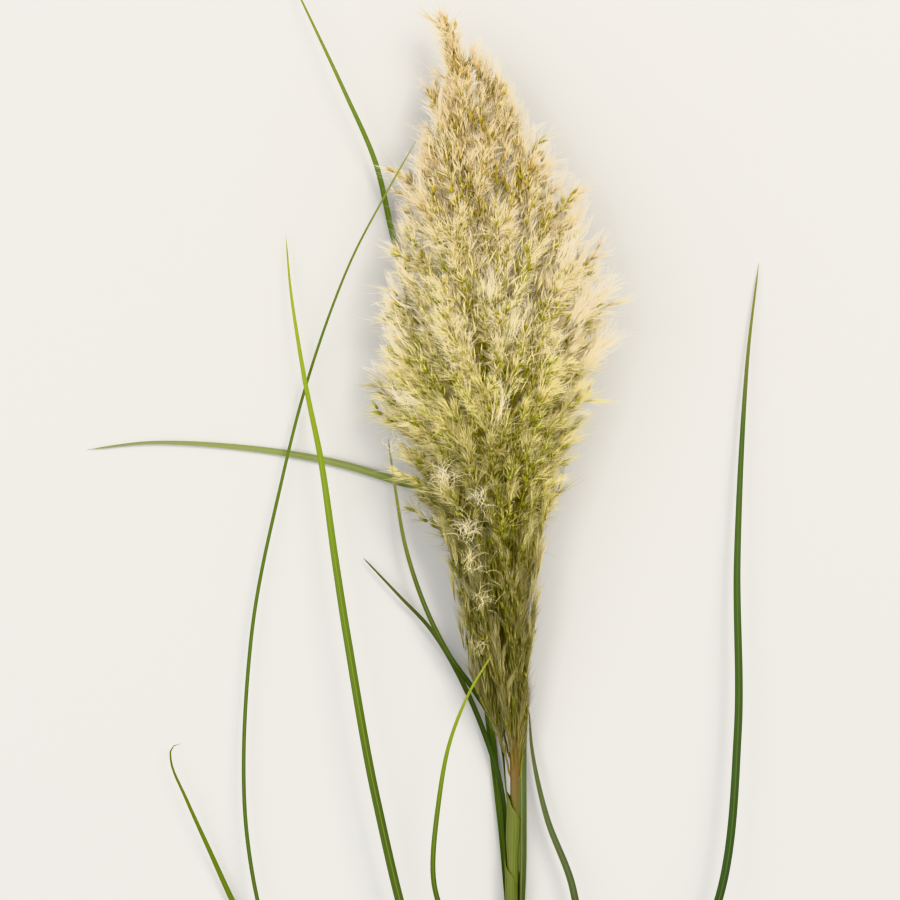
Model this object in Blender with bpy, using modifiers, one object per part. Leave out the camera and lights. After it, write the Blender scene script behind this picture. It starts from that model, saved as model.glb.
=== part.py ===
"""Pampas grass: one flowering shoot, cut and lying on a flat surface.

Lengths are in millimetres in the tables below and in metres in the meshes. The plan runs +Y from the cut
end to the tip of the plume, +X to the right and +Z up from the surface. The tables are written from the
point where the plume leaves its topmost sheath, and PLUME_BASE puts that point in the part's frame, whose
origin is under the middle of the shoot on the surface.
"""

import bisect
import math
from dataclasses import dataclass

import bmesh
import bpy
import numpy as np

MM = 0.001
PLUME_BASE = (50.8, -58.0, 0.0)
GAP = 0.3
SHOOT_NAME = "pampas_grass_shoot"

# The flowering stem: its middle line from the cut end to the tip of the plume, and its radius on the way.
STEM_LINE = [
    (8, -330, 5.0), (4, -230, 5.6), (0, -120, 8.0), (-1, -50, 10.5), (0, 0, 13.0),
    (-4, 60, 17.0), (-8, 120, 21.0), (-11, 185, 26.0), (-15, 240, 29.0), (-20, 290, 30.5),
    (-24, 330, 30.0), (-28, 365, 28.5), (-33, 395, 27.0), (-39, 418, 26.0),
]
STEM_RADIUS = [(-330, 3.2), (-120, 2.9), (0, 2.5), (120, 1.9), (290, 1.1), (418, 0.45)]
STEM_STATIONS = 52
STEM_BEVEL = 4
CURVE_STEPS = 24
DENSE_COUNT = 900

# The plume: how far its fluff stands from the stem's line to the left, right, front and back.
OUTLINE_LEFT = [(0, 3), (62, 26), (128, 34), (184, 52), (221, 62), (270, 54), (333, 36), (380, 14), (418, 4)]
OUTLINE_RIGHT = [(0, 3), (48, 12), (130, 26), (190, 45), (243, 65), (268, 71), (293, 66), (322, 56), (349, 41),
                 (384, 28), (418, 4)]
FRONT_HEIGHT = [(0, 5), (60, 13), (120, 24), (190, 33), (250, 38), (290, 36), (330, 29), (370, 18), (405, 8),
                (418, 4)]
BRANCH_LENGTH = [(45, 44), (62, 58), (118, 98), (160, 112), (240, 128), (280, 126), (350, 112), (400, 96)]
SPREAD_ANGLE = [(60, 14), (130, 24), (190, 42), (260, 46), (320, 36), (400, 16)]
SIDE_STAGGER = 7.0
STAGGER_SHARE = 0.3
LEAST_RISE = 0.05

# One branch: the handles of its curve as shares of its reach, and its radii from bare stalk to fine end.
FOOT_HANDLE = 0.38
FOOT_LEAN = 0.05
TIP_HANDLE = 0.34
BRANCH_STEPS = 60
BRANCH_STATIONS = 10
BRANCH_BEVEL = 1
STALK_RADIUS = 0.65
TIP_RADIUS = 0.45
FLUFF_RADIUS = 4.6
BARE_SHARE = 0.2
SWELL_SKEW = 1.15
SWELL_POWER = 0.8

# Clear room that a branch keeps from its neighbours, the blades and the stem, and its least radius.
BRANCH_ROOM = 0.2
BLADE_ROOM = 0.6
STEM_ROOM = 0.25
LEAST_RADIUS = 0.3

LEFT_TIPS = [
    (-26, 62), (-31, 98), (-38, 128), (-50, 156), (-62, 184), (-80, 221),
    (-69, 243), (-71, 270), (-63, 296), (-62, 333), (-48, 352), (-46, 380),
]
RIGHT_TIPS = [
    (8, 48), (13, 92), (16, 130), (26, 160), (32, 190), (42, 218),
    (50, 243), (53, 268), (46, 293), (32, 322), (14, 349), (-6, 384),
]
FRONT_TIPS = [
    (-10, 76), (-24, 114), (4, 126), (-9, 162), (14, 180), (-42, 200), (-14, 216), (24, 228),
    (-38, 250), (-4, 262), (30, 276), (-36, 300), (-4, 310), (-16, 346), (-28, 382),
]
# Those towards the surface have their height by hand, because blades run under some of them.
BACK_TIPS = [
    (-12, 100, 10.0), (10, 142, 8.0), (16, 188, 5.2), (-8, 214, 5.0), (28, 238, 5.4),
    (-32, 262, 8.5), (6, 286, 5.0), (-22, 326, 8.0),
]

# Leaves: sheaths rolled round the stem, and keeled blades.
LEAF_WALL = 0.4
SHEATH_SPAN = math.radians(300)
MOUTH_SPAN = math.radians(130)
SHEATH_CELLS = 10
SHEATH_PLACES = (0, 0.3, 0.48, 0.64, 0.76, 0.85, 0.93, 1)
SHEATH_NARROWS = 0.76
SHEATH_EASE = 1.04
OVERLAP_EASE = 1.06
FLARE_START, FLARE_END = 14, 27
MOUTH_FLARE = 0.35
BLADE_RISE = 5
BLADE_OFFSET = 0.7
BLADE_KEEL = 0.14
BLADE_STATION_STEP = 13.0
BLADE_DENSE_COUNT = 200
LEAST_BLADE_STATIONS = 10
FLAT_AFTER = 0.28
ROLL_TURNS = 1.6
FOOT_WIDTH = 0.82
FOOT_WIDENING = 1.5
TAPER_POWER = 3.2
TIP_WIDTH = 0.7

CULM_COLOUR = (0.30, 0.27, 0.09)
FLUFF_COLOUR = (0.70, 0.60, 0.36)
LEAF_COLOUR = (0.16, 0.27, 0.05)
LEAF_GREEN_STEP = 0.01
SMOOTH, ROUGH = 0.5, 0.9


@dataclass(frozen=True)
class Leaf:
    """One leaf: where its sheath starts and its mouth stands along the stem, the side it grows on, and its blade."""

    name: str
    node: float
    mouth: float
    side: float
    width: float
    twist: float
    route: tuple


LEAVES = [
    Leaf("leaf_01", -60, -14, 190, 2.8, 18, (
        (-9, 23, 9), (-22, 46, 9), (-36, 66, 11), (-49, 92, 12), (-60, 125, 12), (-66, 158, 10), (-70, 186, 6))),
    Leaf("leaf_02", -92, -48, 225, 2.9, 12, (
        (-7, -10, 5.2), (-18, 26, 4.2), (-33, 59, 3.8), (-47, 81, 4.2), (-63, 98, 5), (-84, 120, 3))),
    Leaf("leaf_03", -124, -80, 236, 4.4, 10, (
        (-8, -24, 2.2), (-17, 53, 1.2), (-27, 119, 1.2), (-41, 196, 1.2), (-58, 262, 1.6), (-68, 301, 3),
        (-77, 339, 9), (-94, 378, 12), (-117, 427, 7), (-126, 446, 2))),
    Leaf("leaf_04", -156, -112, 292, 5.4, 8, (
        (4, -60, 1.6), (4, 9, 2.2), (4, 66, 3.4), (-5, 112, 4.4), (-24, 144, 4.6), (-47, 158, 4.2),
        (-63, 162, 3.4), (-96, 172, 2), (-140, 180, 2), (-200, 184, 2.4), (-238, 180, 1.2))),
    Leaf("leaf_05", -188, -144, 128, 3.0, 22, (
        (-14, -122, 21), (-30, -96, 27), (-42, -68, 30), (-45, -51, 31), (-42, -13, 34), (-36, 20, 36),
        (-25, 48, 37), (-13, 68, 36))),
    Leaf("leaf_06", -218, -176, 350, 4.4, 14, (
        (24, -140, 12), (36, -104, 14), (32, -62, 12), (18, -24, 9), (10, 12, 7), (8, 36, 6.4))),
    Leaf("leaf_07", -246, -206, 165, 5.0, 20, (
        (-24, -160, 15), (-52, -105, 20), (-76, -13, 22), (-92, 75, 21), (-99, 119, 19), (-107, 174, 16),
        (-116, 218, 13), (-124, 268, 8), (-127, 300, 3))),
    Leaf("leaf_08", -272, -234, 10, 5.0, 16, (
        (34, -186, 14), (80, -132, 20), (112, -68, 22), (123, 25, 18), (123, 119, 13), (129, 227, 6),
        (136, 284, 1.2))),
    Leaf("leaf_09", -298, -260, 200, 2.2, 12, (
        (-40, -204, 9), (-90, -164, 12), (-128, -112, 12), (-148, -35, 10), (-146, 75, 8), (-129, 163, 7),
        (-113, 224, 8), (-91, 282, 24), (-72, 317, 40), (-54, 348, 47))),
    Leaf("leaf_10", -324, -286, 215, 4.4, 14, (
        (-44, -236, 3), (-104, -168, 1.4), (-150, -84, 3), (-170, -40, 7), (-182, -13, 9), (-190, 6, 9),
        (-190, 15, 8), (-185, 17, 7))),
]


def smooth_line(points, count):
    """count points, evenly spaced, on a centripetal Catmull-Rom curve through the given ones."""
    knots = np.asarray(points, float)
    ends = np.vstack([2 * knots[0] - knots[1], knots, 2 * knots[-1] - knots[-2]])
    dense = []
    for a, b, c, d in zip(ends, ends[1:], ends[2:], ends[3:]):
        t1 = np.linalg.norm(b - a) ** 0.5
        t2 = t1 + np.linalg.norm(c - b) ** 0.5
        t3 = t2 + np.linalg.norm(d - c) ** 0.5
        t = np.linspace(t1, t2, CURVE_STEPS)[:, None]
        a1 = (t1 - t) / t1 * a + t / t1 * b
        a2 = (t2 - t) / (t2 - t1) * b + (t - t1) / (t2 - t1) * c
        a3 = (t3 - t) / (t3 - t2) * c + (t - t2) / (t3 - t2) * d
        b1 = (t2 - t) / t2 * a1 + t / t2 * a2
        b2 = (t3 - t) / (t3 - t1) * a2 + (t - t1) / (t3 - t1) * a3
        dense.append((t2 - t) / (t2 - t1) * b1 + (t - t1) / (t2 - t1) * b2)
    line = np.vstack([dense[0][:1]] + [piece[1:] for piece in dense])
    return resampled(line, count)


def resampled(line, count):
    """count points at equal distances along a polyline."""
    run = np.concatenate([[0], np.cumsum(np.linalg.norm(np.diff(line, axis=0), axis=1))])
    at = np.linspace(0, run[-1], count)
    return np.stack([np.interp(at, run, line[:, k]) for k in range(3)], axis=1)


def table(pairs, value):
    """The value of a table of (place, size) pairs, with straight runs between them."""
    places, sizes = zip(*pairs)
    return np.interp(value, places, sizes)


def eased(value):
    """0 to 1 with a soft start and a soft end."""
    value = np.clip(value, 0, 1)
    return value * value * (3 - 2 * value)


def unit(vector):
    """A vector, or each row of an array of them, at length one."""
    return vector / np.linalg.norm(vector, axis=-1, keepdims=True)


STEM_DENSE = smooth_line(STEM_LINE, DENSE_COUNT)
STEM_TANGENTS = unit(np.gradient(STEM_DENSE, axis=0))


def stem_at(height):
    """The stem's middle line at a distance along Y: its point, its direction, and two directions across it."""
    index = min(bisect.bisect_left(STEM_DENSE[:, 1], height), len(STEM_DENSE) - 1)
    along = STEM_TANGENTS[index]
    across = unit(np.cross(along, (0, 0, 1)))
    return STEM_DENSE[index], along, across, np.cross(across, along)


def stem_radius(height):
    """The stem's radius at a distance along Y."""
    return table(STEM_RADIUS, height)


def branch_line(tip):
    """A branch's middle line: out of the rachis almost along it, then bowed outwards to the tip."""
    tip = np.asarray(tip, float)
    length = table(BRANCH_LENGTH, tip[1])
    foot = tip[1] - length
    point, along, across, up = stem_at(foot)
    beside, _, _, _ = stem_at(tip[1])
    out = tip - beside
    out[1] = 0
    out = unit(out) if np.linalg.norm(out) > 1 else up
    away = unit(out - along * np.dot(out, along))
    seat = (stem_radius(foot) + GAP + STALK_RADIUS) * away
    start = point + seat
    angle = math.radians(table(SPREAD_ANGLE, tip[1]))
    end_way = math.cos(angle) * np.array([0, 1.0, 0]) + math.sin(angle) * out
    reach = np.linalg.norm(tip - start)
    hand_1 = start + (FOOT_HANDLE * along + FOOT_LEAN * away) * reach
    hand_2 = tip - TIP_HANDLE * reach * end_way
    t = np.linspace(0, 1, BRANCH_STEPS)[:, None]
    line = ((1 - t) ** 3 * start + 3 * (1 - t) ** 2 * t * hand_1
            + 3 * (1 - t) * t ** 2 * hand_2 + t ** 3 * tip)
    return resampled(line, BRANCH_STATIONS)


def fluff_profile(count):
    """A branch's radius from foot to tip: a bare stalk, a swelling of spikelets, and a fine end."""
    s = np.linspace(0, 1, count)
    swell = np.clip((s - BARE_SHARE) / (1 - BARE_SHARE), 0, 1)
    radius = STALK_RADIUS + (FLUFF_RADIUS - STALK_RADIUS) * np.sin(math.pi * swell ** SWELL_SKEW) ** SWELL_POWER
    radius[-1] = TIP_RADIUS
    return radius


def side_tips(tips, first_way):
    """Tips at the plume's left or right edge: at the stem's height, each a little above or below the last."""
    placed = []
    for index, (x, y) in enumerate(tips):
        way = first_way if index % 2 == 0 else -first_way
        stagger = way * min(SIDE_STAGGER, STAGGER_SHARE * table(FRONT_HEIGHT, y))
        placed.append((x, y, stem_at(y)[0][2] + stagger))
    return placed


def front_tips(tips):
    """Tips on the side away from the surface, on an oval whose widths are the outline's."""
    placed = []
    for x, y in tips:
        middle = stem_at(y)[0]
        beside = x - middle[0]
        wide = table(OUTLINE_LEFT if beside < 0 else OUTLINE_RIGHT, y)
        rise = table(FRONT_HEIGHT, y) * math.sqrt(max(LEAST_RISE, 1 - (beside / wide) ** 2))
        placed.append((x, y, middle[2] + rise))
    return placed


def branch_tips():
    """Every branch's name and tip."""
    groups = {
        "left": side_tips(LEFT_TIPS, 1),
        "right": side_tips(RIGHT_TIPS, -1),
        "front": front_tips(FRONT_TIPS),
        "back": BACK_TIPS,
    }
    return {
        f"branch_{side}_{index:02d}": tip
        for side, tips in groups.items()
        for index, tip in enumerate(tips, 1)
    }


def distance_to_line(points, line):
    """Each point's distance to a polyline's nearest segment."""
    a, b = line[:-1], line[1:]
    run = b - a
    t = np.einsum("pij,ij->pi", points[:, None] - a, run) / np.einsum("ij,ij->i", run, run)
    near = a + np.clip(t, 0, 1)[..., None] * run
    return np.linalg.norm(points[:, None] - near, axis=2).min(axis=1)


def fitted_radii(lines, blades):
    """Each branch's radii, drawn in where a neighbouring branch, the stem or a blade is close."""
    radii = {}
    for name, line in lines.items():
        free = fluff_profile(len(line))
        for other, other_line in lines.items():
            if other != name:
                free = np.minimum(free, distance_to_line(line, other_line) / 2 - BRANCH_ROOM)
        for route, half_width in blades:
            free = np.minimum(free, distance_to_line(line, route) - half_width - BLADE_ROOM)
        stem_room = np.array([np.linalg.norm(p - stem_at(p[1])[0]) - stem_radius(p[1]) for p in line])
        free[1:] = np.minimum(free[1:], stem_room[1:] - STEM_ROOM)
        free = np.minimum(free, line[:, 2])
        radii[name] = np.maximum(free, LEAST_RADIUS)
    return radii


def plant_material(name, colour, roughness):
    """A plain Principled material."""
    material = bpy.data.materials.new(name)
    material.use_nodes = True
    shader = material.node_tree.nodes["Principled BSDF"]
    shader.inputs["Base Color"].default_value = (*colour, 1)
    shader.inputs["Roughness"].default_value = roughness
    shader.inputs["Metallic"].default_value = 0
    return material


def in_frame(points):
    """Plan millimetres as metres in the part's frame."""
    return (np.asarray(points, float) + PLUME_BASE) * MM


def add_tube(name, line, radii, bevel, material, collection):
    """A round tapering stalk: a bevelled polyline with filled caps. A higher bevel gives it more sides."""
    curve = bpy.data.curves.new(name, "CURVE")
    curve.dimensions = "3D"
    curve.bevel_depth = MM
    curve.bevel_resolution = bevel
    curve.use_fill_caps = True
    spline = curve.splines.new("POLY")
    spline.points.add(len(line) - 1)
    spline.points.foreach_set("co", np.c_[in_frame(line), np.ones(len(line))].ravel())
    spline.points.foreach_set("radius", np.asarray(radii, float))
    curve.materials.append(material)
    collection.objects.link(bpy.data.objects.new(name, curve))


def zipped(first, second):
    """Triangles between two rows of vertex numbers of unlike counts, taken in step along both."""
    faces, i, j = [], 0, 0
    while i < len(first) - 1 or j < len(second) - 1:
        next_i = (i + 1) / (len(first) - 1) if i < len(first) - 1 else 2
        next_j = (j + 1) / (len(second) - 1) if j < len(second) - 1 else 2
        if next_i <= next_j:
            faces.append((first[i], first[i + 1], second[j]))
            i += 1
        else:
            faces.append((first[i], second[j + 1], second[j]))
            j += 1
    return faces


def ring_directions(height, side, span):
    """Unit vectors across the stem on the arc that a sheath covers."""
    _, _, across, up = stem_at(height)
    angles = math.radians(side) + np.linspace(-span / 2, span / 2, SHEATH_CELLS + 1)
    return np.cos(angles)[:, None] * across + np.sin(angles)[:, None] * up


def sheath_rows(leaf):
    """The sheath's inner face: an open tube, snug at its node and wide enough above for the next sheath."""
    rows = []
    for s in SHEATH_PLACES:
        height = leaf.node + s * (leaf.mouth - leaf.node)
        snug = stem_radius(height) * SHEATH_EASE + GAP
        wide = (snug + LEAF_WALL) * OVERLAP_EASE + GAP
        flare = eased((height - leaf.node - FLARE_START) / (FLARE_END - FLARE_START))
        narrowed = eased((s - SHEATH_NARROWS) / (1 - SHEATH_NARROWS))
        radius = snug + (wide - snug) * flare + MOUTH_FLARE * narrowed
        span = SHEATH_SPAN + (MOUTH_SPAN - SHEATH_SPAN) * narrowed
        rows.append(stem_at(height)[0] + radius * ring_directions(height, leaf.side, span))
    return rows


def blade_line(leaf):
    """The blade's middle line, from the middle of the sheath's mouth to the tip."""
    mouth = sheath_rows(leaf)[-1][SHEATH_CELLS // 2]
    _, along, _, _ = stem_at(leaf.mouth)
    out = ring_directions(leaf.mouth, leaf.side, 0)[0]
    start = mouth + BLADE_RISE * along + BLADE_OFFSET * out
    line = smooth_line([start, *leaf.route], BLADE_DENSE_COUNT)
    length = np.linalg.norm(np.diff(line, axis=0), axis=1).sum()
    return resampled(line, max(LEAST_BLADE_STATIONS, round(length / BLADE_STATION_STEP)))


def blade_rows(leaf):
    """The blade's lower face as rows of left edge, keel and right edge, turned from the sheath's side to flat."""
    line = blade_line(leaf)
    s = np.linspace(0, 1, len(line))
    along = unit(np.gradient(line, axis=0))
    out = ring_directions(leaf.mouth, leaf.side, 0)[0]
    flat = np.array([0, 0, 1.0 if out[2] > 0 else -1.0])
    turn = eased(s / FLAT_AFTER)[:, None]
    back = (1 - turn) * out + turn * flat
    back = unit(back - along * (back * along).sum(1, keepdims=True))
    across = np.cross(along, back)
    roll = np.radians(leaf.twist) * np.sin(math.pi * s * ROLL_TURNS)[:, None] * turn
    back, across = np.cos(roll) * back + np.sin(roll) * across, np.cos(roll) * across - np.sin(roll) * back
    taper = s ** TAPER_POWER
    width = leaf.width * np.minimum(FOOT_WIDTH + FOOT_WIDENING * s, 1) * (1 - taper) + TIP_WIDTH * taper
    half = (width / 2)[:, None]
    edge_lift = -BLADE_KEEL * 2 * half * back
    return np.stack([line - half * across + edge_lift, line, line + half * across + edge_lift], axis=1)


def add_leaf(leaf, material, collection):
    """One leaf: the open tube of its sheath lofted into its blade, thickened outwards."""
    sheath = sheath_rows(leaf)
    blade = blade_rows(leaf)
    if np.dot(blade[0][2] - blade[0][0], sheath[-1][-1] - sheath[-1][0]) < 0:
        blade = blade[:, ::-1]
    rows = [*sheath, *blade]
    points = in_frame(np.vstack(rows))
    numbers, start = [], 0
    for row in rows:
        numbers.append(list(range(start, start + len(row))))
        start += len(row)
    faces = []
    for low, high in zip(numbers, numbers[1:]):
        if len(low) == len(high):
            faces += [(low[k], low[k + 1], high[k + 1], high[k]) for k in range(len(low) - 1)]
        else:
            faces += zipped(low, high)
    mesh = bpy.data.meshes.new(leaf.name)
    mesh.from_pydata(points.tolist(), [], faces)
    mesh.materials.append(material)
    obj = bpy.data.objects.new(leaf.name, mesh)
    collection.objects.link(obj)
    wall = obj.modifiers.new("wall", "SOLIDIFY")
    wall.thickness = LEAF_WALL * MM
    wall.offset = 1
    face_outwards(mesh, points, rows)


def face_outwards(mesh, points, rows):
    """Turns the loft so that its faces look away from the stem, as the sheath's outer face does."""
    first_row = points[:len(rows[0])]
    face = mesh.polygons[0]
    out = np.array(face.center) - first_row.mean(axis=0)
    out[1] = 0
    if np.dot(np.array(face.normal), out) < 0:
        work = bmesh.new()
        work.from_mesh(mesh)
        bmesh.ops.reverse_faces(work, faces=work.faces)
        work.to_mesh(mesh)
        work.free()


def main():
    """Builds the stem, the leaves and the plume's branches in one collection."""
    for old in list(bpy.data.objects):
        bpy.data.objects.remove(old)
    collection = bpy.data.collections.new(SHOOT_NAME)
    bpy.context.scene.collection.children.link(collection)

    stem_line = resampled(STEM_DENSE, STEM_STATIONS)
    culm = plant_material("culm_green_gold", CULM_COLOUR, SMOOTH)
    add_tube("flowering_stem", stem_line, stem_radius(stem_line[:, 1]), STEM_BEVEL, culm, collection)

    for index, leaf in enumerate(LEAVES):
        red, strength, blue = LEAF_COLOUR
        green = plant_material(f"{leaf.name}_green", (red, strength + LEAF_GREEN_STEP * index, blue), SMOOTH)
        add_leaf(leaf, green, collection)

    lines = {name: branch_line(tip) for name, tip in branch_tips().items()}
    blades = [(blade_line(leaf), leaf.width / 2) for leaf in LEAVES]
    for name, radii in fitted_radii(lines, blades).items():
        cream = plant_material(f"{name}_cream", FLUFF_COLOUR, ROUGH)
        add_tube(name, lines[name], radii, BRANCH_BEVEL, cream, collection)


main()
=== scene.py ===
"""The looks of one cut pampas grass shoot, lying on a pale floor and seen from straight above.

Every piece is worked out on the same plan as the solids of the frame: the stem's middle line, the branches'
tips and the leaves' routes, all in millimetres from the point where the plume leaves its topmost sheath.
"""

from __future__ import annotations

import logging
import math
from dataclasses import dataclass, field, replace
from enum import Enum

import bpy
import numpy as np
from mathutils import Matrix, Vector


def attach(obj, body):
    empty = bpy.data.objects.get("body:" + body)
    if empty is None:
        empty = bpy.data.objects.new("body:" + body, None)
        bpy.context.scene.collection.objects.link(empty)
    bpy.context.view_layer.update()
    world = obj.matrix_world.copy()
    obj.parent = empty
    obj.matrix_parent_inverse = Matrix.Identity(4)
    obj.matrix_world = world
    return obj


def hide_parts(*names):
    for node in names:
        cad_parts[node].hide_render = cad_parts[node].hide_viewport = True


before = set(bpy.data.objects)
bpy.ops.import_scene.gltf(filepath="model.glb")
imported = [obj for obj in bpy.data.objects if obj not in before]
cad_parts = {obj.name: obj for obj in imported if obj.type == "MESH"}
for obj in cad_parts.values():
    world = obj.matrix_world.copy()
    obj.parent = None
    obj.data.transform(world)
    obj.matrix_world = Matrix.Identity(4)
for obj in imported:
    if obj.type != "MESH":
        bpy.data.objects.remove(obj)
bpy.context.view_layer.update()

LOG = logging.getLogger("pampas_shoot")
Array = np.ndarray
Random = np.random.Generator
Place = tuple[float, float, float]
Colour = tuple[float, float, float]
ColourRun = tuple[tuple[float, Colour], ...]
Table = list[tuple[float, float]]
Piece = bpy.types.Object
Material = bpy.types.Material
Node = bpy.types.Node
Socket = bpy.types.NodeSocket

MM = 0.001
PLUME_BASE = np.array((50.8, -58.0, 0.0))
BODY = "root"
FLOOR_CLEARANCE = 0.12
SOFT_TOP, TOP_GIVE = 60.0, 10.0
# The pieces' own map: a strand's half width on it, the margin and what it leaves, and the outermost tone.
UV_NAME = "OFBake"
MAP_WIDTH = 0.012
MAP_EDGE, MAP_SPAN = 0.01, 0.98
TONE_EDGE = 0.03
# Turns from one side stalk to the next and from one spikelet to the next, and points on smooth lines.
GOLDEN_TURN = math.radians(137.5)
SPIKELET_TURN = math.radians(144)
STRETCH_POINTS = 24
STEM_POINTS = 900

# The stem: its middle line, then its radius by the place along it.
STEM_LINE = [
    (8, -330, 5.0), (4, -230, 5.6), (0, -120, 8.0), (-1, -50, 10.5), (0, 0, 13.0),
    (-4, 60, 17.0), (-8, 120, 21.0), (-11, 185, 26.0), (-15, 240, 29.0), (-20, 290, 30.5),
    (-24, 330, 30.0), (-28, 365, 28.5), (-33, 395, 27.0), (-39, 418, 26.0),
]
STEM_RADIUS = [(-330, 3.2), (-120, 2.9), (0, 2.5), (120, 1.9), (290, 1.1), (418, 0.45)]
# The plume by the place along it: half widths, height, and each branch's length and spread in degrees.
OUTLINE_LEFT = [
    (0, 3), (62, 26), (128, 34), (184, 52), (221, 62), (270, 54), (333, 36), (380, 14), (418, 4),
]
OUTLINE_RIGHT = [
    (0, 3), (48, 12), (130, 26), (190, 45), (243, 65), (268, 71), (293, 66), (322, 56), (349, 41),
    (384, 28), (418, 4),
]
FRONT_HEIGHT = [
    (0, 5), (60, 13), (120, 24), (190, 33), (250, 38), (290, 36), (330, 29), (370, 18), (405, 8), (418, 4),
]
BRANCH_LENGTH = [(45, 44), (62, 58), (118, 98), (160, 112), (240, 128), (280, 126), (350, 112), (400, 96)]
SPREAD_ANGLE = [(60, 14), (130, 24), (190, 42), (260, 46), (320, 36), (400, 16)]
SIDE_STAGGER = 7.0
STALK_SEAT = 0.95
SIDE_SEED = 100
# Where the fluff's habit changes along the plume, by the branch's tip.
STREAK_TOP, STREAK_TOP_RIGHT = 120, 175
BASE_TOP, BARE_TOP, TOP_START = 160, 185, 315

# The leaves: the sheaths' gap, arcs, flares and step, and the blades' keel and tip.
GAP = 0.3
SHEATH_SPAN = math.radians(300)
MOUTH_SPAN = math.radians(130)
SHEATH_NARROWS = 0.76
FLARE_START, FLARE_END = 14, 27
MOUTH_FLARE = 0.35
SHEATH_STEP = 0.4
BLADE_KEEL = 0.14
TIP_WIDTH = 0.7
# A leaf's map along it: where the sheath ends, the stretch between, and where the blade starts.
SHEATH_MAP, BRIDGE_MAP, BLADE_MAP = 0.22, (0.225, 0.235), 0.24

# The branches' tips: across and along, and for those at the back also the height.
LEFT_TIPS = [
    (-26, 62), (-31, 98), (-38, 128), (-50, 156), (-62, 184), (-80, 221),
    (-69, 243), (-71, 270), (-63, 296), (-62, 333), (-48, 352), (-46, 380),
]
RIGHT_TIPS = [
    (8, 48), (13, 92), (16, 130), (26, 160), (32, 190), (42, 218),
    (50, 243), (53, 268), (46, 293), (32, 322), (14, 349), (-6, 384),
]
FRONT_TIPS = [
    (-10, 76), (-24, 114), (4, 126), (-9, 162), (14, 180), (-42, 200), (-14, 216), (24, 228),
    (-38, 250), (-4, 262), (30, 276), (-36, 300), (-4, 310), (-16, 346), (-28, 382),
]
BACK_TIPS = [
    (-12, 100, 10.0), (10, 142, 8.0), (16, 188, 5.2), (-8, 214, 5.0), (28, 238, 5.4),
    (-32, 262, 8.5), (6, 286, 5.0), (-22, 326, 8.0),
]

# Tones across the map by the place along the plume: high at its foot and low at its tip. The dark olive at
# the foot is partly the plume's own colour and partly painted shade.
HAIR_TONES = [
    (40, 1.0), (90, 0.97), (150, 0.88), (190, 0.75), (225, 0.50), (280, 0.38), (330, 0.22), (400, 0.14),
]
FLORET_TONES = [(50, 0.99), (120, 0.95), (170, 0.84), (215, 0.70), (265, 0.55), (310, 0.28), (360, 0.08)]
STALK_TONES = [(60, 0.95), (140, 0.75), (200, 0.5), (340, 0.1)]
WHITE_TONES = [(60, 0.80), (110, 0.60), (140, 0.42), (170, 0.34)]

# Tufts on the front: across, along, direction, number of hairs, their length, and their turn in radians.
CURLED_TUFTS = (
    (-38, 162, (-0.3, 1, 0.6), 50, 14, 2.0), (-19, 152, (0.2, 1, 0.6), 30, 10, 2.4),
    (-27, 134, (0.3, 1, 0.5), 46, 12, 2.2), (-25, 116, (0.5, 1, 0.4), 26, 12, 2.0),
    (-18, 97, (0.5, 1, 0.3), 22, 10, 2.0), (-21, 70, (0.2, 1, 0.3), 22, 9, 2.0),
    (-66, 184, (-1, 0.2, 0), 14, 9, 3.0), (-38, 406, (-0.6, 1, 0), 26, 12, 1.4),
)
COMBED_TUFTS = (
    (-54, 205, (-1, 0.45, 0.02), 30, 15, 0.6), (-10, 196, (0.35, 1, 0.3), 18, 26, 0.8),
    (38, 226, (0.8, 1, 0.1), 60, 19, 0.5), (32, 250, (0.7, 1, 0.3), 60, 20, 0.5),
    (-2, 240, (0.3, 1, 0.4), 24, 24, 0.3), (-14, 262, (0.1, 1, 0.5), 30, 20, 0.3),
    (24, 280, (0.5, 1, 0.2), 50, 20, 0.4), (44, 262, (1, 0.9, 0), 50, 17, 0.6),
    (46, 236, (1, 1.1, 0), 40, 17, 0.6),
)
# The locks that point left at the plume's middle: across, along and length.
LEFT_LOCKS = ((-58, 217, 26), (-56, 218, 24), (-58, 221, 22), (-60, 213, 22), (-57, 208, 18), (-58, 199, 16))
# Combed streaks near the foot: half of the plume, its stretch, how many, and their sideways lean.
STREAKS = ((1, 4, 150, 26, 0.11), (-1, 40, 140, 12, -0.13))
# Locks along the edges: half of the plume, its stretch, how many, their forward slope, and their turn.
EDGE_LOCKS = (
    (-1, 190, 320, 22, 0.5, 0.9), (1, 195, 335, 34, 0.75, 0.9), (1, 335, 400, 12, 2.0, 0.7),
    (-1, 320, 400, 14, 2.0, 0.8),
)


def table(pairs: Table, value: Array | float) -> Array:
    """Reads a table of (place, size) pairs, with straight runs between them."""
    places, sizes = zip(*pairs)
    return np.interp(value, places, sizes)


def eased(value: Array | float) -> Array:
    """Turns 0 to 1 into 0 to 1 with a soft start and a soft end: 3 v squared less 2 v cubed."""
    value = np.clip(value, 0, 1)
    return value * value * (3 - 2 * value)


def unit(vector: Array) -> Array:
    """Gives each row of an array of vectors the length one."""
    return vector / np.maximum(np.linalg.norm(vector, axis=-1, keepdims=True), 1e-12)


def read_line(line: Array, marks: Array, at: Array | float) -> Array:
    """Reads a polyline at places between its points, by a rising mark that each point carries."""
    return np.stack([np.interp(at, marks, line[:, k]) for k in range(3)], axis=-1)


def run_length(line: Array) -> float:
    """The length of a polyline."""
    return np.linalg.norm(np.diff(line, axis=0), axis=1).sum()


def resampled(line: Array, count: int) -> Array:
    """Places points at equal distances along a polyline.

    Args:
        line: the polyline's points, one a row.
        count: how many points to place.

    Returns:
        The new points, one a row.
    """
    run = np.concatenate([[0], np.cumsum(np.linalg.norm(np.diff(line, axis=0), axis=1))])
    return read_line(line, run, np.linspace(0, run[-1], count))


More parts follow.
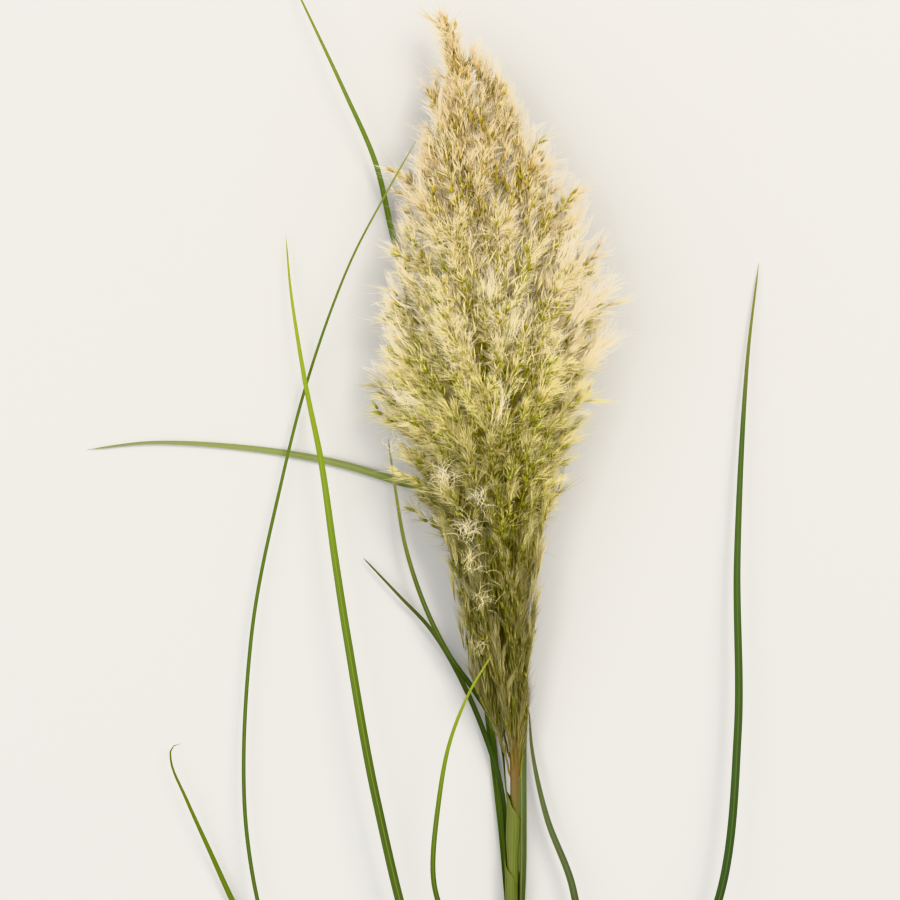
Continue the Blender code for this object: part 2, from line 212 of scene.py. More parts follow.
def smooth_line(points: list[Place], count: int) -> Array:
    """Draws a centripetal Catmull-Rom curve through points.

    Each stretch is a mix of mixes of the four points around it, in which a point's share falls evenly with
    the square root of the distance to it.

    Args:
        points: the points that the curve goes through.
        count: how many evenly spaced points to read from it.

    Returns:
        The curve's points, one a row.
    """
    knots = np.asarray(points, float)
    ends = np.vstack([2 * knots[0] - knots[1], knots, 2 * knots[-1] - knots[-2]])
    dense = []
    for a, b, c, d in zip(ends, ends[1:], ends[2:], ends[3:]):
        t1 = np.linalg.norm(b - a) ** 0.5
        t2 = t1 + np.linalg.norm(c - b) ** 0.5
        t3 = t2 + np.linalg.norm(d - c) ** 0.5
        t = np.linspace(t1, t2, STRETCH_POINTS)[:, None]
        a1 = (t1 - t) / t1 * a + t / t1 * b
        a2 = (t2 - t) / (t2 - t1) * b + (t - t1) / (t2 - t1) * c
        a3 = (t3 - t) / (t3 - t2) * c + (t - t2) / (t3 - t2) * d
        b1 = (t2 - t) / t2 * a1 + t / t2 * a2
        b2 = (t3 - t) / (t3 - t1) * a2 + (t - t1) / (t3 - t1) * a3
        dense.append((t2 - t) / (t2 - t1) * b1 + (t - t1) / (t2 - t1) * b2)
    return resampled(np.vstack([dense[0][:1]] + [piece[1:] for piece in dense]), count)


def across_pair(along: Array) -> tuple[Array, Array]:
    """Finds two directions square to each row of directions and to each other.

    Args:
        along: unit directions, one a row.

    Returns:
        Two arrays of unit directions. With along as the third they make a right-handed set.
    """
    helper = np.where(np.abs(along[:, 2:3]) < 0.9, [[0.0, 0.0, 1.0]], [[1.0, 0.0, 0.0]])
    first = unit(np.cross(helper, along))
    return first, np.cross(along, first)


def around(way: Array, turn: Array) -> Array:
    """Unit directions square to each row of way: cos of its turn in one, sin of its turn in the other."""
    one, two = across_pair(way)
    return np.cos(turn)[:, None] * one + np.sin(turn)[:, None] * two


def circle(first: Array, second: Array, sides: int, flatness: float = 1.0) -> Array:
    """Works out a ring round each point: cos a times first, plus flatness times sin a times second.

    Args:
        first: unit directions, one a row.
        second: unit directions square to them.
        sides: how many points in a ring.
        flatness: the ring's height as a share of its width.

    Returns:
        An array by row, by side, by axis.
    """
    angle = np.arange(sides) * 2 * math.pi / sides
    cos, sin = np.cos(angle)[None, :, None], np.sin(angle)[None, :, None]
    return cos * first[:, None] + flatness * sin * second[:, None]


def scattered(ways: Array, loose: float, rng: Random) -> Array:
    """Unit directions near the given ones, off by a bell curve as wide as loose."""
    return unit(ways + rng.normal(0, loose, ways.shape))


def grid_faces(index: Array) -> Array:
    """Splits each cell of a grid into two triangles.

    Args:
        index: the grid's point numbers, row by row.

    Returns:
        Rows of three point numbers.
    """
    a, b, c, d = index[:-1, :-1], index[:-1, 1:], index[1:, 1:], index[1:, :-1]
    return np.concatenate([np.stack([a, b, c], -1).reshape(-1, 3), np.stack([a, c, d], -1).reshape(-1, 3)])


class StemPlan:
    """The stem's middle line and the directions around it."""

    def __init__(self) -> None:
        """Reads the smooth line once, densely."""
        self.line = smooth_line(STEM_LINE, STEM_POINTS)
        self.tangent = unit(np.gradient(self.line, axis=0))

    def point(self, height: Array | float) -> Array:
        """The middle line's points at distances along Y."""
        return read_line(self.line, self.line[:, 1], height)

    def along(self, height: Array | float) -> Array:
        """The middle line's directions at distances along Y."""
        return unit(read_line(self.tangent, self.line[:, 1], height))

    def across(self, height: Array) -> tuple[Array, Array]:
        """Finds the directions across the stem.

        Args:
            height: places along Y.

        Returns:
            The sideways and the upward direction at each.
        """
        along = self.along(height)
        side = unit(np.cross(along, (0.0, 0.0, 1.0)))
        return side, np.cross(side, along)

    def outward(self, points: Array) -> Array:
        """Finds the way out of the plume.

        Args:
            points: places in the plume, one a row.

        Returns:
            Unit directions from the stem's line to them, square to Y.
        """
        away = points - self.point(points[:, 1])
        away[:, 1] = 0
        return unit(away)


STEM = StemPlan()


class Band(Enum):
    """The strips of a plume piece's own map, one for each of its materials, in the materials' order."""

    STALK = (0.02, 0.10)
    FLORET = (0.13, 0.29)
    GLUME = (0.32, 0.47)
    HAIR = (0.50, 0.99)

    @property
    def slot(self) -> int:
        """The number of the material that reads the strip."""
        return list(Band).index(self)

    def rows(self, share: Array) -> Array:
        """Map heights for shares 0 to 1 of the way from root to tip."""
        low, high = self.value
        return low + (high - low) * np.clip(share, 0, 1)


@dataclass
class Surface:
    """A growing mesh: points in plan millimetres, triangles, map places and material numbers."""

    points: list[Array] = field(default_factory=list)
    faces: list[Array] = field(default_factory=list)
    places: list[Array] = field(default_factory=list)
    slots: list[Array] = field(default_factory=list)
    count: int = 0

    def add(self, points: Array, faces: Array, places: Array, slot: int = 0) -> None:
        """Adds points, the triangles between them and their places on the map.

        Args:
            points: corner points in plan millimetres.
            faces: rows of three numbers into points.
            places: each point's place on the piece's map.
            slot: the number of the material on these faces.
        """
        self.points.append(points)
        self.faces.append(faces + self.count)
        self.places.append(places)
        self.slots.append(np.full(len(faces), slot))
        self.count += len(points)

    def build(self, name: str, materials: list[Material]) -> Piece:
        """Puts the arrays into a Blender mesh.

        Points above the soft top are drawn down to it by a tanh curve, and no point lies below the floor.

        Args:
            name: the piece's name.
            materials: the materials that the slot numbers mean.

        Returns:
            The piece, at the origin, with its place in its mesh.
        """
        points = np.vstack(self.points) + PLUME_BASE
        above = np.maximum(points[:, 2] - SOFT_TOP, 0)
        points[:, 2] = np.minimum(points[:, 2], SOFT_TOP) + TOP_GIVE * np.tanh(above / TOP_GIVE)
        points[:, 2] = np.maximum(points[:, 2], FLOOR_CLEARANCE)
        points *= MM
        faces = np.vstack(self.faces).astype(np.int32)
        places = np.vstack(self.places)
        mesh = bpy.data.meshes.new(name)
        mesh.vertices.add(len(points))
        mesh.vertices.foreach_set("co", points.astype(np.float32).ravel())
        mesh.loops.add(faces.size)
        mesh.loops.foreach_set("vertex_index", faces.ravel())
        mesh.polygons.add(len(faces))
        mesh.polygons.foreach_set("loop_start", np.arange(0, faces.size, 3, dtype=np.int32))
        mesh.polygons.foreach_set("material_index", np.concatenate(self.slots).astype(np.int32))
        mesh.update(calc_edges=True)
        corners = places[faces.ravel()].astype(np.float32)
        mesh.uv_layers.new(name=UV_NAME).data.foreach_set("uv", corners.ravel())
        mesh.shade_smooth()
        for material in materials:
            mesh.materials.append(material)
        piece = bpy.data.objects.new(name, mesh)
        bpy.context.scene.collection.objects.link(piece)
        return piece


def ring_faces(sides: int, rings: int, pointed: bool) -> Array:
    """Works out the triangles of one tapering stick whose rings are numbered from its foot.

    Args:
        sides: points in a ring.
        rings: how many rings.
        pointed: whether two points after the rings, tip and foot, close the ends, instead of flat caps.

    Returns:
        Rows of three point numbers, facing outwards.
    """
    k = np.arange(sides)
    n = (k + 1) % sides
    faces = []
    for ring in range(rings - 1):
        low, high = ring * sides, (ring + 1) * sides
        faces += [np.stack([low + k, low + n, high + n], 1), np.stack([low + k, high + n, high + k], 1)]
    last, tip = (rings - 1) * sides, rings * sides
    if pointed:
        return np.vstack(faces + [np.stack([last + k, last + n, np.full(sides, tip)], 1),
                                  np.stack([n, k, np.full(sides, tip + 1)], 1)])
    return np.vstack(faces + [np.stack([np.full(sides - 2, last), last + k[1:-1], last + k[2:]], 1),
                              np.stack([np.zeros(sides - 2, int), k[2:], k[1:-1]], 1)])


@dataclass(frozen=True)
class StrandShape:
    """A stick's section and rings, between two pointed ends.

    It has places along it, radii there as shares of half its width, and a flatness. Its tip reads the map at
    map_top of the way up its strip.
    """

    sides: int
    places: tuple[float, ...]
    radii: tuple[float, ...]
    flatness: float = 1.0
    map_top: float = 1.0


HAIR_SHAPE = StrandShape(3, (0.42,), (1.0,))
WISP_SHAPE = StrandShape(3, (0.25, 0.5, 0.75), (1.0, 0.9, 0.6))
LINING_SHAPE = StrandShape(4, (0.45,), (1.0,), 0.5, 0.42)
FLORET_SHAPE = StrandShape(4, (0.28, 0.66), (1.0, 0.72), 0.7)
GLUME_SHAPE = StrandShape(4, (0.35,), (1.0,), 0.25)


@dataclass(frozen=True)
class Strands:
    """Many thin sticks of one kind: hairs, florets or glumes, each bent along a parabola.

    A stick's middle runs from its root by length times (t along + t squared bend + sin(2 pi t) wave), for t
    from 0 to 1.
    """

    root: Array
    along: Array
    bend: Array
    length: Array
    width: Array
    tone: Array
    wave: Array | float = 0.0

    def add_to(self, surface: Surface, band: Band, shape: StrandShape) -> None:
        """Works out every stick's points at once and adds them.

        Args:
            surface: the mesh that grows.
            band: the strip of the map that the sticks read, which also says their material.
            shape: the stick's rings, from root to tip.
        """
        count = len(self.root)
        if not count:
            return
        t = np.array(shape.places)
        straight, bowed, waved = (run[None, :, None] for run in (t, t ** 2, np.sin(2 * math.pi * t)))
        path = (straight * self.along[:, None] + bowed * self.bend[:, None]
                + waved * np.broadcast_to(self.wave, (count, 3))[:, None])
        middle = self.root[:, None] + self.length[:, None, None] * path
        ring = circle(*across_pair(self.along), shape.sides, shape.flatness)
        radius = self.width[:, None] / 2 * np.array(shape.radii)[None]
        rings = middle[:, :, None] + radius[:, :, None, None] * ring[:, None]
        tip = self.root + self.length[:, None] * (self.along + self.bend)
        points = np.concatenate([rings.reshape(count, -1, 3), tip[:, None], self.root[:, None]], axis=1)
        share = np.concatenate([np.repeat(t, shape.sides), [1.0, 0.0]])
        per = points.shape[1]
        beside = MAP_WIDTH * np.cos(np.arange(per) * 2 * math.pi / shape.sides)
        u = np.clip(self.tone, TONE_EDGE, 1 - TONE_EDGE)[:, None] + beside[None]
        v = np.broadcast_to(band.rows(share * shape.map_top)[None], u.shape)
        faces = ring_faces(shape.sides, len(t), True)
        faces = (faces[None] + (np.arange(count) * per)[:, None, None]).reshape(-1, 3)
        surface.add(points.reshape(-1, 3), faces, np.stack([u, v], -1).reshape(-1, 2), band.slot)


def add_stick(surface: Surface, line: Array, radii: Array, sides: int, tone: float,
              band: Band = Band.STALK, start: float = 0.0) -> None:
    """Adds a round tapering stalk along a polyline.

    The stalk's skin is the line plus radius times (cos a across + sin a upward), for a round the section.

    Args:
        surface: the mesh that grows.
        line: the middle line's points.
        radii: the radius at each point.
        sides: points in a ring.
        tone: the place across the map.
        band: the strip of the map that it reads, which also says its material.
        start: how far up that strip the foot lies.
    """
    ring = circle(*across_pair(unit(np.gradient(line, axis=0))), sides)
    points = (line[:, None] + radii[:, None, None] * ring).reshape(-1, 3)
    share = np.repeat(np.linspace(start, 1, len(line)), sides)
    u = tone + MAP_WIDTH * np.tile(np.cos(np.arange(sides) * 2 * math.pi / sides), len(line))
    surface.add(points, ring_faces(sides, len(line), False), np.stack([u, band.rows(share)], 1), band.slot)


@dataclass(frozen=True)
class Nodes:
    """A node tree, and the few kinds of node that the finishes are made of."""

    tree: bpy.types.NodeTree

    def feed(self, node: Node, values: dict[str | int, Socket | float | tuple]) -> None:
        """Sets a node's inputs.

        Args:
            node: the node.
            values: for the name or number of each input, a socket to link or a value to set.
        """
        for key, value in values.items():
            if isinstance(value, Socket):
                self.tree.links.new(value, node.inputs[key])
            else:
                node.inputs[key].default_value = value

    def add(self, kind: str, values: dict[str | int, Socket | float | tuple], **settings: object) -> Node:
        """Adds a node.

        Args:
            kind: the node's type.
            values: its inputs, as feed takes them.
            settings: its own settings, which are made first.

        Returns:
            The node.
        """
        node = self.tree.nodes.new(kind)
        for name, setting in settings.items():
            setattr(node, name, setting)
        self.feed(node, values)
        return node

    def map_axes(self) -> tuple[Socket, Socket]:
        """Reads the piece's own map.

        Returns:
            Its two axes.
        """
        place = self.add("ShaderNodeUVMap", {}, uv_map=UV_NAME)
        split = self.add("ShaderNodeSeparateXYZ", {"Vector": place.outputs["UV"]})
        return split.outputs["X"], split.outputs["Y"]

    def colour(self, colour: Colour) -> Socket:
        """Adds one plain colour.

        Args:
            colour: red, green and blue.

        Returns:
            The colour's socket.
        """
        node = self.add("ShaderNodeRGB", {})
        node.outputs[0].default_value = (*colour, 1)
        return node.outputs[0]

    def maths(self, operation: str, first: Socket, second: Socket | float = 0.0) -> Socket:
        """Works out one operation on one or two numbers."""
        return self.add("ShaderNodeMath", {0: first, 1: second}, operation=operation).outputs[0]

    def spread(self, value: Socket, low: float, high: float, to_low: float = 0.0,
               to_high: float = 1.0) -> Socket:
        """Spreads low to high evenly over to_low to to_high, and stops at both ends.

        Args:
            value: the number that is read.
            low: where the range starts.
            high: where it ends.
            to_low: what comes out at its start.
            to_high: what comes out at its end.

        Returns:
            The new number.
        """
        values = {"Value": value, "From Min": low, "From Max": high, "To Min": to_low, "To Max": to_high}
        return self.add("ShaderNodeMapRange", values).outputs["Result"]

    def ramp(self, value: Socket, stops: ColourRun) -> Socket:
        """Runs through colours.

        Args:
            value: the place in the run, from 0 to 1.
            stops: places and their colours.

        Returns:
            The colour.
        """
        node = self.add("ShaderNodeValToRGB", {"Fac": value})
        elements = node.color_ramp.elements
        while len(elements) < len(stops):
            elements.new(0.5)
        for element, (place, colour) in zip(elements, stops):
            element.position = place
            element.color = (*colour, 1)
        return node.outputs["Color"]

    def mixed(self, share: Socket, first: Socket, second: Socket, blend: str = "MIX") -> Socket:
        """Blends a first colour with a second by a share."""
        node = self.add("ShaderNodeMix", {0: share, 6: first, 7: second}, data_type="RGBA", blend_type=blend)
        return node.outputs[2]


def node_material(name: str) -> tuple[Material, Nodes, Node]:
    """Starts a material.

    Args:
        name: the material's name.

    Returns:
        The material, its nodes and its Principled shader.
    """
    material = bpy.data.materials.new(name)
    material.use_nodes = True
    return material, Nodes(material.node_tree), material.node_tree.nodes["Principled BSDF"]


@dataclass(frozen=True)
class StrandFinish:
    """A finish for sticks: a colour run from root to tip for each tone across the map, mixed in between."""

    name: str
    band: Band
    runs: tuple[ColourRun, ...]
    roughness: float
    sheen: float = 0.0

    def material(self) -> Material:
        """Builds the material.

        The height in the strip says the place in each run, and the tone how two neighbouring runs are mixed.

        Returns:
            The material.
        """
        material, nodes, shader = node_material(self.name)
        tone, height = nodes.map_axes()
        share = nodes.spread(height, *self.band.value)
        colour = nodes.ramp(share, self.runs[0])
        step = 1 / (len(self.runs) - 1)
        for index, run in enumerate(self.runs[1:]):
            part = nodes.spread(tone, index * step, (index + 1) * step)
            colour = nodes.mixed(part, colour, nodes.ramp(share, run))
        nodes.feed(shader, {"Base Color": colour, "Roughness": self.roughness, "Sheen Weight": self.sheen})
        return material


# The last run of each finish is the dark olive of the plume's foot: partly its own colour, partly painted
# shade.
HAIR = StrandFinish(
    "silky_hair", Band.HAIR, (
        ((0.0, (0.42, 0.29, 0.03)), (0.35, (0.80, 0.58, 0.24)), (1.0, (0.99, 0.80, 0.49))),
        ((0.0, (0.72, 0.60, 0.12)), (0.35, (0.98, 0.84, 0.50)), (1.0, (1.00, 0.90, 0.74))),
        ((0.0, (0.58, 0.52, 0.03)), (0.35, (0.86, 0.74, 0.21)), (1.0, (0.98, 0.86, 0.50))),
        ((0.0, (0.085, 0.083, 0.007)), (0.35, (0.125, 0.116, 0.018)), (1.0, (0.25, 0.205, 0.085))),
    ), 0.5, 0.2)
FLORET = StrandFinish(
    "golden_floret", Band.FLORET, (
        ((0.0, (0.28, 0.175, 0.03)), (0.5, (0.41, 0.265, 0.05)), (1.0, (0.58, 0.40, 0.13))),
        ((0.0, (0.28, 0.225, 0.022)), (0.5, (0.40, 0.33, 0.035)), (1.0, (0.58, 0.48, 0.12))),
        ((0.0, (0.20, 0.215, 0.010)), (0.5, (0.30, 0.305, 0.015)), (1.0, (0.48, 0.47, 0.07))),
        ((0.0, (0.09, 0.09, 0.006)), (0.5, (0.14, 0.135, 0.008)), (1.0, (0.24, 0.21, 0.03))),
    ), 0.5)
GLUME = StrandFinish(
    "papery_glume", Band.GLUME, (
        ((0.0, (0.52, 0.36, 0.06)), (0.6, (0.76, 0.54, 0.18)), (1.0, (0.90, 0.70, 0.38))),
        ((0.0, (0.60, 0.54, 0.07)), (0.6, (0.92, 0.81, 0.36)), (1.0, (0.99, 0.89, 0.62))),
        ((0.0, (0.52, 0.48, 0.03)), (0.6, (0.82, 0.74, 0.18)), (1.0, (0.94, 0.84, 0.42))),
        ((0.0, (0.12, 0.11, 0.012)), (0.6, (0.17, 0.155, 0.03)), (1.0, (0.27, 0.225, 0.08))),
    ), 0.45, 0.1)
STALK = StrandFinish(
    "golden_stalk", Band.STALK, (
        ((0.0, (0.28, 0.19, 0.02)), (0.5, (0.42, 0.30, 0.03)), (1.0, (0.56, 0.42, 0.08))),
        ((0.0, (0.32, 0.31, 0.015)), (0.5, (0.46, 0.42, 0.02)), (1.0, (0.60, 0.52, 0.09))),
        ((0.0, (0.13, 0.085, 0.010)), (0.4, (0.13, 0.115, 0.010)), (1.0, (0.20, 0.175, 0.02))),
    ), 0.45)


@dataclass(frozen=True)
class FluffLook:
    """How the fluff of one branch grows: where it starts and ends, its sprigs, its hairs and its florets.

    Lean opens the sprigs, sweep bends them out of the plume, fan scatters the hairs, and comb lays the
    spikelets along the stem. Gaps, lengths and widths are in millimetres.
    """

    start: float = 0.30
    end: float = 0.93
    sprig_gap: float = 7.5
    spikelet_gap: float = 2.4
    lean: float = 1.0
    sweep: float = 0.12
    hair_length: float = 11.5
    hair_width: float = 0.26
    fan: float = 0.32
    hairs: int = 19
    floret_length: float = 5.9
    floret_width: float = 1.6
    floret_share: float = 1.0
    comb: float = 0.0


MIDDLE_LOOK = FluffLook(sweep=0.16, fan=0.36)
LEFT_LOOK = FluffLook(end=0.86, sweep=0.27, hair_length=10.0)
SHOULDER_LOOK = FluffLook(end=0.88, spikelet_gap=2.8, sweep=0.02, hair_length=15.0, fan=0.15, hairs=25,
                          floret_share=0.7)
TOP_LOOK = FluffLook(start=0.16, hair_length=10.5, hair_width=0.25, fan=0.36, hairs=17, floret_length=6.2,
                     floret_width=1.35, floret_share=1.2)
STREAK_LOOK = FluffLook(start=0.05, end=0.82, sprig_gap=7.0, spikelet_gap=4.2, lean=0.35, sweep=0.0,
                        hair_length=18.0, hair_width=0.25, fan=0.05, hairs=32, floret_length=3.6,
                        floret_width=1.0, floret_share=0.3, comb=0.8)
BASE_LOOK = FluffLook(start=0.14, end=0.84, spikelet_gap=3.4, lean=0.55, sweep=0.0, hair_length=12.5,
                      fan=0.12, hairs=24, floret_length=4.6, floret_width=1.4, floret_share=0.8, comb=0.55)
BARE_LOOK = FluffLook(start=0.50, sprig_gap=9.0, spikelet_gap=3.4, lean=0.7, hair_length=10.0, hairs=14)
INNER_LOOK = FluffLook(spikelet_gap=3.2, hair_length=10.5, fan=0.34, hairs=8)
UNDER_LOOK = FluffLook(sprig_gap=9.0, spikelet_gap=3.2, hairs=10, hair_width=0.36)
OUTER_LOOK = FluffLook(spikelet_gap=2.8, sweep=0.15, hair_length=10.5, fan=0.28, hairs=16)


class Side(Enum):
    """The side of the stem that a branch grows on."""

    LEFT = "left"
    RIGHT = "right"
    FRONT = "front"
    BACK = "back"


def hair_tone(points: Array, rng: Random) -> Array:
    """Places hairs among the tones, which run from tan at the plume's tip through white and cream to olive,
    which at the foot is partly painted shade.

    The tone of the place along the plume is made whiter on the right shoulder, a painted glow of the light
    from the upper right, and whiter along the lower edges.

    Args:
        points: the hairs' places.
        rng: the piece's own random draws.

    Returns:
        A tone for each, from 0 to 1.
    """
    x, y = points[:, 0], points[:, 1]
    # A painted glow of the light from the upper right whitens the right shoulder.
    shoulder = eased((x + 12) / 44) * eased((y - 205) / 40) * (1 - eased((y - 300) / 60))
    edge = (eased((x - 4) / 14) + 0.6 * eased((-30 - x) / 12)) * (1 - eased((y - 140) / 60))
    tone = table(HAIR_TONES, y)
    return np.clip(tone - 0.12 * shoulder - 0.16 * edge + rng.normal(0, 0.06, len(points)), 0, 1)


def floret_tone(points: Array, rng: Random) -> Array:
    """The florets' tones: brown-gold at the plume's tip, yellow-green in its middle, olive at its foot,
    partly painted shade.
    """
    return np.clip(table(FLORET_TONES, points[:, 1]) + rng.normal(0, 0.08, len(points)), 0, 1)


def patch(points: Array) -> Array:
    """Finds the plume's patches of florets: a sum of three slow waves through it, made a soft step.

    Args:
        points: places in the plume.

    Returns:
        1 in a patch of florets, 0 in a silky patch between them.
    """
    x, y, z = points.T
    waves = (np.sin(0.37 * x + 0.11 * y + 1.3) + np.sin(0.24 * y - 0.19 * x + 0.15 * z)
             + np.sin(0.29 * z + 0.17 * y + 0.21 * x + 4.0))
    return eased((waves + 1.1) / 2.2)


@dataclass(frozen=True)
class Sprig:
    """A fine side stalk: its middle line, and the share of it that is bare."""

    line: Array
    bare: float

    def spikelets(self, gap: float, rng: Random) -> tuple[Array, Array]:
        """Sets spikelets round the stalk by equal turns, from the bare part's end to the tip.

        Args:
            gap: the distance between two spikelets.
            rng: the branch's own random draws.

        Returns:
            The spikelets' feet and the directions in which they point.
        """
        count = max(2, int(run_length(self.line) * (1 - self.bare) / gap))
        last = len(self.line) - 1
        index = (self.bare + (1 - self.bare) * np.linspace(0, 1, count)) * last
        foot = read_line(self.line, np.arange(last + 1), index)
        way = unit(np.gradient(self.line, axis=0))[np.minimum(np.round(index).astype(int), last)]
        radial = around(way, np.arange(count) * SPIKELET_TURN + rng.uniform(0, 2 * math.pi))
        lean = rng.uniform(0.16, 0.46, count)[:, None]
        return foot + 0.5 * radial, scattered(way + lean * radial, 0.07, rng)


@dataclass(frozen=True)
class Spikelets:
    """One sprig's spikelets: feet, directions, sizes, their shade, and how far each lies in a patch."""

    feet: Array
    ways: Array
    sizes: Array
    shade: float
    full: Array


class Fluff:
    """The fluff of one piece: it grows stalks, spikelets and hairs into one mesh."""

    PAIR = 2
    WISP_SHARE = 0.05
    SPRIG_SIDES, SPRIG_THICK, SPRIG_THIN = 3, 0.28, 0.12
    CURL_WIDTH, LOCK_WIDTH, HAIR_END = 0.24, 0.26, 0.08
    UPPER_STRIP = 0.6

    def __init__(self, seed: int, look: FluffLook) -> None:
        """Starts an empty piece.

        Args:
            seed: the start of the piece's own random draws.
            look: the habit of its fluff.
        """
        self.rng = np.random.default_rng(seed)
        self.look = look
        self.surface = Surface()

    def stalk(self, line: Array, thick: float, thin: float, sides: int) -> None:
        """Adds a bare stalk that tapers evenly.

        Args:
            line: its middle line.
            thick: its radius at the foot.
            thin: its radius at the tip.
            sides: points in a ring.
        """
        tone = table(STALK_TONES, line[:, 1].mean())
        tone = float(np.clip(tone + self.rng.normal(0, 0.1), 0.04, 0.96))
        add_stick(self.surface, line, np.linspace(thick, thin, len(line)), sides, tone)

    def dress(self, sprig: Sprig) -> None:
        """Sets spikelets along a sprig, each with florets, a papery glume and a brush of hairs.

        Args:
            sprig: the side stalk that carries them.
        """
        look, rng = self.look, self.rng
        feet, ways = sprig.spikelets(look.spikelet_gap, rng)
        ways = unit((1 - look.comb) * ways + look.comb * STEM.along(feet[:, 1]))
        shade = rng.normal(0, 0.07)
        spikelets = Spikelets(feet, ways, rng.uniform(0.8, 1.2, len(feet)), shade, patch(feet))
        self.florets(spikelets)
        self.glumes(spikelets)
        self.hairs(spikelets)

    def florets(self, spikelets: Spikelets) -> None:
        """Adds florets in pairs: more where the plume has its patches, fewer on its white shoulder.

        Args:
            spikelets: the spikelets of one sprig.
        """
        look, rng, feet = self.look, self.rng, spikelets.feet
        shoulder = eased((feet[:, 0] - 12) / 28) * eased((feet[:, 1] - 200) / 40)
        chance = look.floret_share * (0.35 + 0.75 * spikelets.full) * (1 - 0.65 * shoulder)
        pair = np.repeat(np.flatnonzero(rng.random(len(feet)) < chance), self.PAIR)
        size = spikelets.sizes[pair]
        Strands(feet[pair], scattered(spikelets.ways[pair], 0.2, rng), rng.normal(0, 0.08, (len(pair), 3)),
                look.floret_length * size, look.floret_width * size * rng.uniform(0.7, 1.1, len(pair)),
                np.clip(floret_tone(feet[pair], rng) + spikelets.shade, 0, 1)
                ).add_to(self.surface, Band.FLORET, FLORET_SHAPE)

    def glumes(self, spikelets: Spikelets) -> None:
        """Adds one papery glume to each spikelet, nearly as long as a floret and flat.

        Args:
            spikelets: the spikelets of one sprig.
        """
        look, rng, feet, ways = self.look, self.rng, spikelets.feet, spikelets.ways
        Strands(feet - 0.3 * ways, scattered(ways, 0.2, rng), rng.normal(0, 0.12, ways.shape),
                0.95 * look.floret_length * spikelets.sizes, 0.8 * spikelets.sizes,
                np.clip(hair_tone(feet, rng) + spikelets.shade, 0, 1)
                ).add_to(self.surface, Band.GLUME, GLUME_SHAPE)

    def hairs(self, spikelets: Spikelets) -> None:
        """Adds each spikelet's brush of hairs, fuller and longer in the silky patches.

        A hair's direction is the spikelet's, plus a fan and a share of the way out of the plume. Its bend is
        one that its whole brush shares, plus a little of its own. A few longer wisps are wavy.

        Args:
            spikelets: the spikelets of one sprig.
        """
        look, rng, full = self.look, self.rng, spikelets.full
        kept = np.repeat(np.arange(len(full)), look.hairs)
        kept = kept[rng.random(len(kept)) < 1.0 - 0.5 * full[kept]]
        way, silky, total = spikelets.ways[kept], 1 - full[kept], len(kept)
        root = spikelets.feet[kept] + way * rng.uniform(0.0, 3.0, total)[:, None]
        outward = STEM.outward(root) * (1, 1, 0.45)
        fan = rng.normal(0, look.fan, (total, 3)) * (1 - 0.35 * silky)[:, None]
        aim = unit(way + fan + 0.8 * look.sweep * outward)
        shared = rng.normal(0, 0.18 + 0.2 * look.fan, (len(full), 3))[kept]
        own = rng.normal(0, 0.25 * look.fan, (total, 3))
        bend = 0.35 * fan + shared + own + (0.04 + 0.9 * look.sweep) * outward
        length = look.hair_length * rng.uniform(0.55, 1.1, total) * (0.9 + 0.2 * silky)
        wisp = rng.random(total) < self.WISP_SHARE
        width = look.hair_width * rng.uniform(0.7, 1.15, total)
        tone = np.clip(hair_tone(root, rng) + spikelets.shade - 0.08 * (silky - 0.5), 0, 1)
        for pick, shape, longer, finer, wave in ((~wisp, HAIR_SHAPE, 1.0, 1.0, 0.0),
                                                 (wisp, WISP_SHAPE, 1.4, 0.72, 0.07)):
            Strands(root[pick], aim[pick], bend[pick], longer * length[pick], finer * width[pick],
                    tone[pick], rng.normal(0, wave, (pick.sum(), 3))).add_to(self.surface, Band.HAIR, shape)

    def brush(self, line: Array, count: int, length: float = 11.0, paler: float = 0.0) -> None:
        """Adds fine hairs combed close along a line.

        Args:
            line: the line that carries them.
            count: how many hairs.
            length: about how long they are.
            paler: how much whiter their tone is than their place says.
        """
        rng = self.rng
        index = rng.integers(0, len(line) - 1, count)
        step = line[index + 1] - line[index]
        root = line[index] + rng.random((count, 1)) * step
        aim = scattered(unit(step), 0.08, rng)
        Strands(root, aim, rng.normal(0, 0.08, (count, 3)), length * rng.uniform(0.6, 1.4, count),
                rng.uniform(0.22, 0.32, count), hair_tone(root + 0.5 * length * aim, rng) - paler
                ).add_to(self.surface, Band.HAIR, HAIR_SHAPE)

    def lock(self, place: Array, way: Array, side: Array, count: int, length: float, turn: float) -> None:
        """Adds a lock of hairs that bend the same way and meet at its tip: each is an arc of a circle.

        Args:
            place: the lock's foot.
            way: the direction in which its hairs set out.
            side: the direction towards which they bend.
            count: how many hairs.
            length: a hair's length.
            turn: how far a hair turns, in radians.
        """
        rng = self.rng
        along = unit(np.asarray(way, float))
        side = unit(side - along * np.dot(side, along))
        t = np.linspace(0, 1, 6)[:, None]
        for _ in range(count):
            angle = turn * rng.uniform(0.8, 1.2)
            radius = length * rng.uniform(0.75, 1.1) / angle
            apart = rng.normal(0, 1, 3) * (1.6, 1.6, 0.9)
            line = place + (1 - 0.75 * t) * apart
            line = line + radius * (np.sin(t * angle) * along + (1 - np.cos(t * angle)) * side)
            self.fine_hair(line, self.LOCK_WIDTH)

